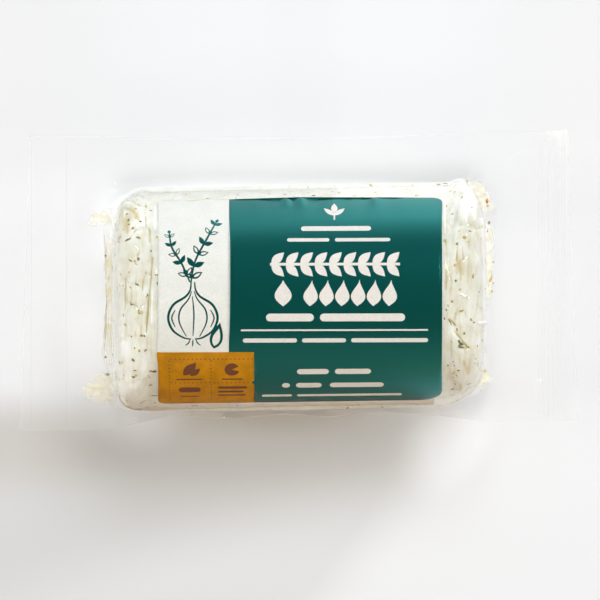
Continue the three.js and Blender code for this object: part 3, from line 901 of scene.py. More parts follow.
class Crumple:
    """The small wrinkles of vacuum-drawn film, pressed alike into the film and the cheese under it."""

    HOOP = Vector((1.3, 8.5, 8.5))
    GATE = Vector((5.0, 5.0, 5.0))
    LUMP = Vector((3.4, 4.4, 4.4))
    TATTER = Vector((3.6, 5.6, 5.6))
    GRAIN = Vector((0.95, 1.3, 1.3))
    HOOP_DEPTH = 0.13
    LUMP_DEPTH = 0.13
    TATTER_DEPTH = 0.1
    GRAIN_DEPTH = 0.05
    ON_SIDES = 0.3
    FACE_FADE = (7.0, 15.0)

    def __init__(self, form: PackForm, label: "LabelPlan") -> None:
        """Keeps the form and where the label hides the surface."""
        self.form = form
        self.label = label

    def bare(self, places: np.ndarray) -> np.ndarray:
        """1 where the surface shows, 0 under the label."""
        x, y, z = places.T
        angle = np.degrees(np.arctan2(z - self.form.seam, y - self.form.axis_y(x)))
        inside_x = ease(x, self.label.left - 0.8, self.label.left + 0.4)
        inside_x = inside_x * (1.0 - ease(x, self.label.right - 0.4, self.label.right + 0.8))
        inside_turn = ease(angle, self.label.far_angle - 2.0, self.label.far_angle + 1.0)
        inside_turn = inside_turn * (1.0 - ease(angle, self.label.near_angle - 1.0, self.label.near_angle + 2.0))
        return 1.0 - inside_x * inside_turn

    def random_depth(self, place: Vector) -> float:
        """How far the wrinkles that follow no drawn line press in at one place."""
        def scaled(size: Vector, shift: float) -> Vector:
            """The place on a noise pattern of a size."""
            return Vector((place.x / size.x + shift, place.y / size.y, place.z / size.z))
        gate = noise.noise(scaled(self.GATE, 7.0))
        hoop = max(0.0, 1.0 - 4.5 * abs(noise.noise(scaled(self.HOOP, 0.0)))) ** 2
        lump = noise.noise(scaled(self.LUMP, 11.0))
        bent = scaled(self.TATTER, 3.0) + 0.25 * noise.noise_vector(scaled(self.GATE, 1.0))
        near, second = noise.voronoi(bent)[0][:2]
        tatter = max(0.0, 1.0 - (second - near) / 0.16) ** 2
        grain = noise.noise(scaled(self.GRAIN, 3.0))
        depth = self.HOOP_DEPTH * hoop * min(1.0, max(0.0, 0.55 + 1.6 * gate))
        depth += self.TATTER_DEPTH * tatter * max(-0.7, min(1.0, 3.0 * lump + 0.35))
        return depth + self.LUMP_DEPTH * lump + self.GRAIN_DEPTH * grain

    def depth(self, places: np.ndarray) -> np.ndarray:
        """How far the surface is pressed in along its normal.

        Args:
            places: places on the smooth surface, in millimetres, one row each.

        Returns:
            The depths in millimetres.
        """
        x, y, z = places.T
        at_end = 1.0 - ease(x, self.form.spine_left - 2.0, self.form.spine_left + 3.0)
        at_end = at_end + ease(x, self.form.spine_right - 3.0, self.form.spine_right + 2.0)
        bare = self.bare(places)
        found = np.array([self.random_depth(Vector(place)) if show > 0.01 else 0.0
                          for place, show in zip(places, bare)])
        drawn = sum(fold.at(x, y) for fold in (*LEFT_FOLDS, *RIGHT_FOLDS)) * ease(z - self.form.seam, *self.FACE_FADE)
        return (found * mix(self.ON_SIDES, 1.0, at_end) + drawn) * bare


def rounded_bar(left: float, right: float, low: float, high: float, corner: float | None = None) -> Outline:
    """A bar with round corners, by default with fully round ends."""
    radius = min(0.5 * (high - low), 0.5 * (right - left)) if corner is None else corner
    points = []
    for centre_x, centre_s, first in (
            (right - radius, high - radius, 0.0), (left + radius, high - radius, 90.0),
            (left + radius, low + radius, 180.0), (right - radius, low + radius, 270.0)):
        for step in range(5):
            angle = math.radians(first + 22.5 * step)
            points.append((centre_x + radius * math.cos(angle), centre_s + radius * math.sin(angle)))
    return points


def cut_corners(left: float, right: float, low: float, high: float, radii: tuple[float, ...]) -> Outline:
    """A sheet with a round corner of its own size at each corner.

    Args:
        left: its left edge.
        right: its right edge.
        low: its edge of least s.
        high: its edge of most s.
        radii: the corners' radii, from right and high round by left and high to right and low.

    Returns:
        The outline.
    """
    points = []
    for number, (x, s, side, end) in enumerate((
            (right, high, -1, -1), (left, high, 1, -1), (left, low, 1, 1), (right, low, -1, 1))):
        radius = radii[number]
        for step in range(7):
            angle = math.radians(90.0 * number + 15.0 * step)
            points.append((x + side * radius + radius * math.cos(angle), s + end * radius + radius * math.sin(angle)))
    return points


def disc(x: float, s: float, radius: float, sides: int = 20) -> Outline:
    """A round dot."""
    turns = [2.0 * math.pi * step / sides for step in range(sides)]
    return [(x + radius * math.cos(turn), s + radius * math.sin(turn)) for turn in turns]


def leaf(base: Point, tip: Point, width: float, fullness: float = 0.45, steps: int = 9) -> Outline:
    """A pointed leaf from its base to its tip, widest at a share of its length."""
    along = (tip[0] - base[0], tip[1] - base[1])
    length = math.hypot(*along)
    side = (-along[1] / length, along[0] / length)
    right = []
    left = []
    for step in range(1, steps):
        share = step / steps
        bent = share ** (math.log(0.5) / math.log(fullness))
        half = 0.5 * width * math.sin(math.pi * bent)
        middle = (base[0] + along[0] * share, base[1] + along[1] * share)
        right.append((middle[0] + side[0] * half, middle[1] + side[1] * half))
        left.append((middle[0] - side[0] * half, middle[1] - side[1] * half))
    return [base, *right, tip, *reversed(left)]


def smooth_line(points: list[Point], steps: int = 7) -> list[Point]:
    """A smooth curve through points."""
    ends = [points[0], *points, points[-1]]
    curve = []
    for before, start, end, after in zip(ends, ends[1:], ends[2:], ends[3:]):
        for step in range(steps):
            t = step / steps
            curve.append(tuple(
                0.5 * (2.0 * b + (c - a) * t + (2.0 * a - 5.0 * b + 4.0 * c - d) * t * t
                       + (3.0 * b - a - 3.0 * c + d) * t ** 3)
                for a, b, c, d in zip(before, start, end, after)))
    return [*curve, points[-1]]


def stroke(points: list[Point], width: float, taper: float = 0.5) -> Outline:
    """A pen stroke along a line, thinner towards its ends."""
    right = []
    left = []
    for index, (x, s) in enumerate(points):
        before = points[max(0, index - 1)]
        after = points[min(len(points) - 1, index + 1)]
        length = math.hypot(after[0] - before[0], after[1] - before[1]) or 1.0
        side = (-(after[1] - before[1]) / length, (after[0] - before[0]) / length)
        swell = 1.0 - taper + taper * math.sin(math.pi * index / (len(points) - 1))
        right.append((x + 0.5 * width * swell * side[0], s + 0.5 * width * swell * side[1]))
        left.append((x - 0.5 * width * swell * side[0], s - 0.5 * width * swell * side[1]))
    return [*right, *reversed(left)]


def counter_clockwise(outline: Outline) -> Outline:
    """The same outline, run through counter-clockwise."""
    doubled = sum(a[0] * b[1] - b[0] * a[1] for a, b in zip(outline, [*outline[1:], outline[0]]))
    return outline if doubled > 0.0 else outline[::-1]


def make_object(name: str, mesh: bpy.types.Mesh, materials: list[bpy.types.Material]) -> bpy.types.Object:
    """Puts a mesh into the scene as a smooth piece at the origin.

    Args:
        name: the piece's name.
        mesh: its mesh, in metres in the part's frame.
        materials: its materials, in slot order.

    Returns:
        The new object.
    """
    for material in materials:
        mesh.materials.append(material)
    mesh.shade_smooth()
    mesh.update()
    piece = bpy.data.objects.new(name, mesh)
    bpy.context.scene.collection.objects.link(piece)
    return piece


def set_attribute(mesh: bpy.types.Mesh, name: str, values: np.ndarray) -> None:
    """Stores one number for each vertex of a mesh."""
    attribute = mesh.attributes.new(name, "FLOAT", "POINT")
    attribute.data.foreach_set("value", values.astype(np.float32))


def vertex_array(mesh: bpy.types.Mesh, what: str = "co") -> np.ndarray:
    """Reads the vertices' places or normals, one row each."""
    values = np.zeros(len(mesh.vertices) * 3, np.float32)
    mesh.vertices.foreach_get(what, values)
    return values.reshape(-1, 3).astype(float)


class Shell:
    """A closed surface made of rings of vertices."""

    def __init__(self) -> None:
        """Starts with nothing."""
        self.places: list[np.ndarray] = []
        self.faces: list[tuple[int, ...]] = []
        self.count = 0

    def add(self, places: np.ndarray) -> np.ndarray:
        """Adds vertices in millimetres, and returns their numbers in the same layout."""
        flat = places.reshape(-1, 3)
        self.places.append(flat)
        numbers = np.arange(self.count, self.count + len(flat)).reshape(places.shape[:-1])
        self.count += len(flat)
        return numbers

    def band(self, inner: np.ndarray, outer: np.ndarray, up: bool) -> None:
        """Faces between two closed rings of equal length: up is true where the outside faces +Z."""
        following_inner = np.roll(inner, -1)
        following_outer = np.roll(outer, -1)
        for a, b, c, d in zip(inner, outer, following_outer, following_inner):
            corners = (a, b, c, d) if up else (d, c, b, a)
            face = tuple(dict.fromkeys(int(corner) for corner in corners))
            if len(face) > 2:
                self.faces.append(face)

    def mesh(self, name: str) -> bpy.types.Mesh:
        """The surface as a mesh in metres."""
        mesh = bpy.data.meshes.new(name)
        mesh.from_pydata((np.concatenate(self.places) * MM).tolist(), [], self.faces)
        return mesh


def sheet_rings(shell: Shell, form: PackForm, rays: Rays, sheet: Sheet, rings: int,
                distances: np.ndarray, lenses: bool) -> np.ndarray:
    """Adds one sheet, from the log's spine out to its last distance.

    Args:
        shell: the surface that it goes into.
        form: the form that it follows.
        rays: the rays.
        sheet: the front or the back.
        rings: how many rings the log has.
        distances: distances out from the log's outline, one row for each ring of the flange.
        lenses: whether the flange stands off over the cheese pressed out at the corners.

    Returns:
        The outermost ring's vertex numbers.
    """
    up = sheet is Sheet.FRONT
    columns = int(rays.column.max()) + 1
    spine_x = np.linspace(form.spine_left, form.spine_right, columns)
    nothing = np.zeros(columns)
    spine_rays = Rays(np.arange(columns), spine_x, nothing, nothing, spine_x, nothing)
    spine = shell.add(form.height_on_log(sheet, spine_rays, np.zeros((1, 1)))[0])
    angles = 90.0 - 90.0 * np.arange(1, rings + 1) / rings
    levels = form.front_section(angles)[0] / form.half_width
    inner = spine[rays.column]
    for ring in shell.add(form.height_on_log(sheet, rays, levels[:, None])):
        shell.band(inner, ring, up)
        inner = ring
    for ring in shell.add(form.height_on_flange(sheet, rays, distances, lenses)):
        shell.band(inner, ring, up)
        inner = ring
    return inner


class PouchFilm:
    """The two sheets of clear film, welded in a flange all round."""

    RIM_STRIP = 0.28
    FLANGE_STEPS = (0.02, 0.045, 0.075, 0.11, 0.15, 0.19, 0.24, 0.3, 0.37, 0.45, 0.53, 0.61, 0.7, 0.79, 0.88)
    RIM_HAZE = 0.16
    VEIL = 0.03
    CORNER_PAINTED_GLINT = 0.25
    CORNER_REACH = 5.0

    def __init__(self, form: PackForm, crumple: Crumple, fineness: Fineness) -> None:
        """Keeps what the film follows."""
        self.form = form
        self.crumple = crumple
        self.fineness = fineness

    def build(self) -> bpy.types.Object:
        """The film as one closed shell, with its gloss, its milkiness and a painted glint at the curled corner marked
        on its vertices.
        """
        form = self.form
        rays = form.rays(self.fineness)
        shell = Shell()
        length = form.flange_length(rays)
        steps = np.array(self.FLANGE_STEPS)[:, None] * (length - self.RIM_STRIP)
        distances = np.concatenate([steps, [length - self.RIM_STRIP], [length]])
        front = sheet_rings(shell, form, rays, Sheet.FRONT, self.fineness.front_rings, distances, True)
        back = sheet_rings(shell, form, rays, Sheet.BACK, self.fineness.back_rings, distances, True)
        shell.band(front, back, True)
        mesh = shell.mesh("pouch_film")
        press_in(mesh, self.crumple)
        places = vertex_array(mesh) / MM
        tight = self.tightness(places)
        # Painted highlight: a glint is painted at the curled far right corner as white milkiness.
        corner = np.hypot(places[:, 0] - form.far_right[0], places[:, 1] - form.far_right[1])
        haze_and_painted_glint = self.VEIL * (1.0 - tight) + self.CORNER_PAINTED_GLINT * hump(np.minimum(1.0, corner / self.CORNER_REACH))
        haze_and_painted_glint[front] = self.RIM_HAZE
        haze_and_painted_glint[back] = self.RIM_HAZE
        set_attribute(mesh, "haze_and_painted_glint", haze_and_painted_glint)
        set_attribute(mesh, "tight", tight)
        film = make_object("pouch_film", mesh, [FILM.material()])
        film.visible_shadow = False
        return film

    def tightness(self, places: np.ndarray) -> np.ndarray:
        """1 where the film lies on cheese, 0 on the empty flange."""
        form = self.form
        x, y, _ = places.T
        middle = (form.log_left + form.log_right) / 2.0
        half = (form.log_right - form.log_left) / 2.0
        along = np.maximum(0.0, np.abs(x - middle) - half + form.end_length) / form.end_length
        across = np.abs(y - form.axis_y(x)) / form.half_width_at(y - form.axis_y(x))
        level = (along ** form.squareness + across ** form.squareness) ** (1.0 / form.squareness)
        tight = 1.0 - ease(level, 1.04, 1.3)
        for lens in CORNER_LENSES:
            tight = np.maximum(tight, 0.4 * ease(lens.at(x, y), 0.0, 0.4))
        return tight


def press_in(mesh: bpy.types.Mesh, crumple: Crumple) -> np.ndarray:
    """Presses the small wrinkles into a mesh along its normals, and returns their depths."""
    places = vertex_array(mesh)
    normals = vertex_array(mesh, "normal")
    depth = crumple.depth(places / MM)
    form = crumple.form
    on_log = np.abs(places[:, 1] / MM - form.axis_y(places[:, 0] / MM)) < form.half_width + 0.2
    on_log &= (places[:, 0] / MM > form.log_left - 0.2) & (places[:, 0] / MM < form.log_right + 0.2)
    resting = places[:, 2] / MM < form.lowest + 1.0
    depth = np.where(on_log & ~resting, depth, 0.0)
    mesh.vertices.foreach_set("co", (places - normals * depth[:, None] * MM).astype(np.float32).ravel())
    mesh.update()
    return depth


class Cheese:
    """The log of fresh cheese, and what the vacuum has pressed out of it between the sheets."""

    CLEARANCE = 0.25
    LENS_CLEARANCE = 0.1
    END_SKIRT = Tent(2.6, 0.9)
    SKIRT_STEPS = (0.2, 0.4, 0.6, 0.8, 1.0)
    CREASE_FULL = 0.36
    LEFT_END_PAINTED_LIGHT = 1.3
    RIGHT_END_PAINTED_LIGHT = 1.0
    WALL_SHARE = 0.35
    SMEAR_RINGS = 10
    SMEAR_STEPS = 6
    SMEAR_EDGE = 0.02
    SMEAR_FADE = 0.95
    SMEAR_SOFTNESS = 1.3
    SMEAR_RAGGEDNESS = 1.1
    RAGGED_EDGE = 0.45
    RAGGED_STEP = 1.1
    SMEARS: tuple[Outline, ...] = (
        [(-40.5, -18.6), (-41.8, -19.8), (-43.2, -20.6), (-44.4, -21.0), (-44.4, -22.2), (-44.0, -23.8),
         (-42.4, -24.7), (-40.1, -25.3), (-37.7, -25.5), (-36.7, -24.3), (-36.6, -21.2), (-37.6, -18.6)],
        [(-43.0, 12.5), (-42.4, 13.5), (-41.0, 13.9), (-39.5, 14.9), (-37.6, 14.7), (-37.2, 12.8), (-37.6, 11.4),
         (-40.3, 11.0), (-42.0, 11.0), (-43.0, 11.5)],
        [(33.4, 19.8), (34.4, 21.8), (36.0, 21.0), (37.6, 19.5), (38.7, 17.5), (39.7, 15.4), (40.7, 13.6),
         (38.8, 13.0), (37.2, 13.4), (36.6, 16.0), (35.0, 18.0)],
        [(37.3, -17.4), (38.6, -18.4), (39.7, -20.0), (38.6, -20.7), (37.4, -21.6), (36.6, -22.6), (35.8, -21.8),
         (36.6, -19.8)],
        [(37.4, 13.0), (39.4, 12.0), (39.8, 8.0), (39.4, 3.0), (39.3, -2.0), (38.7, -5.6), (37.6, -6.0),
         (37.1, 0.0), (37.1, 7.0)],
        [(-36.8, 14.0), (-38.6, 13.0), (-39.6, 10.5), (-39.1, 7.5), (-39.5, 4.5), (-38.9, 1.5), (-39.3, -1.5),
         (-39.1, -6.0), (-39.7, -9.5), (-39.3, -13.0), (-39.9, -16.0), (-38.6, -19.5), (-36.8, -20.5)],
    )

    def __init__(self, form: PackForm, crumple: Crumple, fineness: Fineness) -> None:
        """Keeps the pouch's form and makes the cheese's own, which is smaller all round."""
        gap = self.CLEARANCE
        self.pouch = form
        self.crumple = crumple
        self.fineness = fineness
        self.form = replace(
            form,
            log_left=form.log_left + gap,
            log_right=form.log_right - gap,
            half_width=form.half_width - gap,
            near_half_width=form.near_half_width - gap,
            front_height=form.front_height - gap,
            back_depth=form.back_depth - gap,
            lowest=gap,
            flange=0.04,
            side_tent=Tent(form.side_tent.height - gap, form.side_tent.reach - 0.1),
            end_tent=self.END_SKIRT,
        )

    def build_log(self) -> bpy.types.Object:
        """The log with its skirts, closed at the seam."""
        form = self.form
        rays = form.rays(self.fineness)
        shell = Shell()
        distances = np.array(self.SKIRT_STEPS)[:, None] * form.tent_reach(rays)
        front = sheet_rings(shell, form, rays, Sheet.FRONT, self.fineness.front_rings, distances, False)
        back = sheet_rings(shell, form, rays, Sheet.BACK, self.fineness.back_rings, distances, False)
        shell.band(front, back, True)
        mesh = shell.mesh("cheese_log")
        depth = press_in(mesh, self.crumple)
        places = vertex_array(mesh) / MM
        x, y, z = places.T
        # Painted light: the skirts beyond both ends of the log are made paler, as if better lit, and so are the curd's
        # pale patches; the crease attribute that the curd's colour reads also holds the painted groove shade and ridge
        # highlight.
        painted_end_light = self.RIGHT_END_PAINTED_LIGHT * ease(x, self.form.log_right - 0.6, self.form.log_right + 0.4)
        painted_end_light = painted_end_light + self.LEFT_END_PAINTED_LIGHT * (1.0 - ease(x, self.form.log_left - 0.4, self.form.log_left + 0.6))
        tones_and_painted_light = sum(tone.at(x, y) for tone in CURD_TONES_AND_PAINTED_LIGHT) * ease(z - form.seam, *self.crumple.FACE_FADE)
        set_attribute(mesh, "crease", np.clip(depth / self.CREASE_FULL + tones_and_painted_light - painted_end_light, -1.0, 1.0))
        upright = np.maximum(self.WALL_SHARE, np.abs(vertex_array(mesh, "normal")[:, 2]))
        set_attribute(mesh, "bare", np.where(z > 2.0 * self.CLEARANCE, self.crumple.bare(places), 0.3) * upright)
        return make_object("cheese_log", mesh, [CURD.material()])

    def build_squeezed(self) -> bpy.types.Object:
        """The thin smears of cheese between the sheets, beside the log's corners."""
        shell = Shell()
        covers = []
        for number, outline in enumerate(self.SMEARS):
            covers.append(self.add_smear(shell, outline, number))
        mesh = shell.mesh("squeezed_cheese")
        set_attribute(mesh, "cover", np.concatenate(covers))
        return make_object("squeezed_cheese", mesh, [SMEAR.material()])

    def add_smear(self, shell: Shell, outline: Outline, seed: int) -> np.ndarray:
        """Adds one smear, thick in its middle and running out to its edge.

        Args:
            shell: the surface that it goes into.
            outline: its outline in plan.
            seed: which uneven edge it has.

        Returns:
            How fully the curd covers at each of its vertices.
        """
        closed = counter_clockwise(outline)
        edge = np.array(smooth_line([*closed, closed[0]], self.SMEAR_STEPS)[:-1])
        edge = edge + self.RAGGED_EDGE * np.array([
            noise.noise_vector(Vector((x, y, 7.0 * seed)) / self.RAGGED_STEP)[:2] for x, y in edge])
        middle = edge.mean(axis=0)
        shares = np.arange(1, self.SMEAR_RINGS + 1) / self.SMEAR_RINGS
        covers = []
        rims = []
        for sheet in Sheet:
            plan = middle + shares[:, None, None] * (edge - middle)
            x, y = plan[..., 0], plan[..., 1]
            thick = sum(lens.at(x, y) for lens in CORNER_LENSES)
            high = np.clip(thick - self.LENS_CLEARANCE, 0.06, None) * (1.0 - shares[:, None] ** 2) ** 2
            z = self.pouch.seam + sheet.value * (self.SMEAR_EDGE + high) + self.lift(x, y)
            inner = np.repeat(shell.add(np.array([[*middle, float(np.mean(z[0]))]])), len(edge))
            covers.append(np.ones(1))
            for share, ring in zip(shares, shell.add(np.stack([x, y, z], axis=-1))):
                shell.band(inner, ring, sheet is Sheet.FRONT)
                inner = ring
                cover = self.cover(middle + share * (edge - middle), share, seed)
                covers.append(cover if sheet is Sheet.FRONT else np.clip(2.0 * cover - 1.0, 0.0, 1.0))
            rims.append(inner)
        shell.band(rims[0], rims[1], True)
        return np.concatenate(covers)

    def cover(self, ring: np.ndarray, share: float, seed: int) -> np.ndarray:
        """How fully the curd covers along a ring of a smear: uneven, and nothing at its edge."""
        uneven = np.array([noise.noise(Vector((x / 1.8, y / 0.9, 3.0 * seed))) for x, y in ring])
        fade = self.SMEAR_FADE * (1.0 - share ** 2) ** self.SMEAR_SOFTNESS
        return np.clip(fade * (1.0 + self.SMEAR_RAGGEDNESS * uneven), 0.0, 1.0)

    def lift(self, x: np.ndarray, y: np.ndarray) -> np.ndarray:
        """How far the flange's middle plane lies above the seam near the log."""
        outside = np.maximum(0.0, np.abs(x) - self.pouch.log_right)
        return self.pouch.wave(x, y, np.clip(outside / 18.0, 0.0, 1.0))


class View:
    """The photograph's camera: straight above the pack."""

    PIXELS = 600
    PIXEL_AT_SEAM = 0.203
    CENTRE = (0.25, -3.96)
    HEIGHT = 1000.0
    SENSOR = 36.0

    def __init__(self, form: PackForm) -> None:
        """Keeps the height of the plane that the pixel size holds in."""
        self.seam = form.seam

    def build(self) -> bpy.types.Object:
        """The camera, made the scene's own."""
        data = bpy.data.cameras.new("camera")
        data.sensor_width = self.SENSOR
        data.lens = self.SENSOR * (self.HEIGHT - self.seam) / (self.PIXELS * self.PIXEL_AT_SEAM)
        data.clip_start = 0.05
        data.clip_end = 20.0
        camera = bpy.data.objects.new("camera", data)
        camera.location = (self.CENTRE[0] * MM, self.CENTRE[1] * MM, self.HEIGHT * MM)
        bpy.context.scene.collection.objects.link(camera)
        bpy.context.scene.camera = camera
        return camera

    def sight_line(self, column: float, row: float) -> tuple[Vector, Vector]:
        """The camera's place and the direction in which it sees a pixel, in metres."""
        eye = Vector((self.CENTRE[0], self.CENTRE[1], self.HEIGHT)) * MM
        half = self.PIXELS / 2.0
        x = self.CENTRE[0] + (column - half) * self.PIXEL_AT_SEAM
        y = self.CENTRE[1] - (row - half) * self.PIXEL_AT_SEAM
        return eye, (Vector((x, y, self.seam)) * MM - eye).normalized()


@dataclass(frozen=True)
class Fleck:
    """A flake seen in the photograph: the pixel it lies at, and its real size and direction."""

    column: float
    row: float
    length: float
    width: float
    turn: float = 0.0


@dataclass(frozen=True)
class FlakeKind:
    """One kind of dried herb or spice in the cheese."""

    name: str
    finish: HerbFinish
    per_square_cm: float
    smallest: tuple[float, float, float]
    largest: tuple[float, float, float]
    seed: int
    seen: tuple[Fleck, ...] = ()


FLAKE_KINDS = (
    FlakeKind("leaf_flakes", LEAF, 0.5, (0.18, 0.12, 0.05), (0.45, 0.25, 0.09), 11, (
        Fleck(127, 214, 0.6, 0.5), Fleck(142.5, 197, 0.4, 0.3), Fleck(119, 242, 0.6, 0.4),
        Fleck(138.5, 259, 0.6, 0.7), Fleck(137, 284.5, 0.9, 0.4, -20), Fleck(132, 304.5, 0.8, 0.4),
        Fleck(123.5, 315, 0.3, 0.5), Fleck(133, 360, 0.8, 0.5, -50), Fleck(142.5, 402, 1.4, 0.25, -10),
        Fleck(155, 402.5, 0.4, 0.35), Fleck(138, 409.5, 0.9, 0.4, -10), Fleck(154, 395.5, 1.5, 0.25),
        Fleck(157.5, 283.5, 0.35, 0.7), Fleck(195, 405.5, 1.6, 0.3, 5), Fleck(237.5, 405.5, 0.6, 0.35),
        Fleck(166, 407.5, 0.4, 0.3), Fleck(207.5, 198.5, 0.8, 0.25), Fleck(313.5, 195.5, 0.8, 0.6, -30),
        Fleck(446.5, 206, 0.4, 0.5), Fleck(452.5, 214, 0.6, 0.4), Fleck(457, 244, 0.9, 0.5, 20),
        Fleck(459, 341, 0.5, 0.5), Fleck(461, 343.5, 1.2, 0.6, -35), Fleck(469, 384, 0.9, 0.3, 15),
        Fleck(483.5, 331, 0.35, 0.45), Fleck(446.5, 310, 0.45, 0.45), Fleck(445.5, 183.5, 1.1, 0.2))),
    FlakeKind("olive_flakes", OLIVE, 4.0, (0.15, 0.11, 0.05), (0.5, 0.3, 0.09), 23, (
        Fleck(138.5, 237.5, 1.1, 0.55), Fleck(115, 244.5, 0.4, 0.6), Fleck(130.5, 260.5, 0.9, 0.35, -30),
        Fleck(134.5, 261, 0.4, 0.3), Fleck(145.5, 350.5, 0.6, 0.45), Fleck(105.5, 357, 0.5, 0.5),
        Fleck(107.5, 374.5, 0.8, 0.6), Fleck(146, 206.5, 0.5, 0.7), Fleck(136.5, 195, 0.6, 0.3, -40),
        Fleck(167.5, 192.5, 1.4, 0.3, 5), Fleck(186, 195, 0.6, 0.35), Fleck(237.5, 195, 0.6, 0.45, 20),
        Fleck(394, 187.5, 0.9, 0.3), Fleck(438.5, 184.5, 0.9, 0.3), Fleck(450.5, 191.5, 0.9, 0.4),
        Fleck(454.5, 192, 0.5, 0.4), Fleck(489, 222.5, 0.5, 0.6), Fleck(485.5, 262.5, 0.4, 0.6),
        Fleck(450, 322, 1.6, 0.3, -55), Fleck(471, 319.5, 0.6, 0.5), Fleck(474, 322.5, 0.6, 0.4),
        Fleck(460.5, 347, 1.8, 0.4), Fleck(458.5, 370.5, 0.8, 0.4, 30), Fleck(453.5, 377.5, 0.4, 0.3),
        Fleck(455, 384, 0.5, 0.3), Fleck(452.5, 395, 1.1, 0.4, -20), Fleck(482.5, 340.5, 0.5, 0.5))),
    FlakeKind("stalk_bits", STALK, 0.5, (0.2, 0.09, 0.05), (0.6, 0.14, 0.08), 37, (
        Fleck(128, 239.5, 1.6, 0.4, 15), Fleck(140.5, 221.5, 0.5, 0.55), Fleck(129, 224.5, 0.35, 0.35),
        Fleck(151, 251, 0.4, 0.5), Fleck(105.5, 255.5, 0.5, 0.35, 45), Fleck(154.5, 371.5, 1.2, 0.6),
        Fleck(138.5, 310, 0.4, 0.3), Fleck(135, 370.5, 0.6, 0.3), Fleck(131.5, 336.5, 0.35, 0.35),
        Fleck(444.5, 318.5, 0.3, 0.6), Fleck(479, 292, 0.4, 0.4), Fleck(477.5, 346, 0.35, 0.4),
        Fleck(339.5, 193, 0.8, 0.25), Fleck(128.5, 220, 0.45, 0.6))),
    FlakeKind("garlic_granules", GRANULE, 4.5, (0.14, 0.12, 0.06), (0.4, 0.3, 0.1), 41, (
        Fleck(140.5, 312.5, 1.2, 0.7), Fleck(482, 226.5, 0.8, 0.8), Fleck(445, 240.5, 0.7, 0.9),
        Fleck(490.5, 280, 0.5, 0.8, -30), Fleck(493, 283, 0.4, 0.4), Fleck(492, 291.5, 0.5, 0.5),
        Fleck(464.5, 237.5, 0.8, 0.8), Fleck(484, 371, 1.0, 0.6), Fleck(460, 289.5, 0.6, 0.5),
        Fleck(491.5, 276.5, 0.4, 0.5), Fleck(354, 196, 0.8, 0.35), Fleck(308.5, 193, 0.6, 0.45),
        Fleck(224.5, 195.5, 0.3, 0.3))),
    FlakeKind("pepper_flakes", PEPPER, 0.3, (0.15, 0.12, 0.05), (0.34, 0.22, 0.09), 53, (
        Fleck(141.5, 335.5, 0.6, 0.5), Fleck(150.5, 371, 0.6, 0.4), Fleck(148, 375.5, 0.3, 0.25),
        Fleck(487, 201, 0.6, 1.0), Fleck(488, 206, 0.35, 0.5), Fleck(487.5, 231, 0.35, 0.45),
        Fleck(452, 301.5, 0.5, 0.5), Fleck(481, 308.5, 0.4, 0.4), Fleck(457, 329.5, 0.35, 0.7),
        Fleck(454.5, 365.5, 0.35, 0.35), Fleck(453, 373.5, 0.45, 0.6), Fleck(493.5, 262, 0.4, 0.35),
        Fleck(467, 181.5, 0.4, 0.4), Fleck(375, 192.5, 0.5, 0.2), Fleck(293.5, 196.5, 0.3, 0.3))),
)


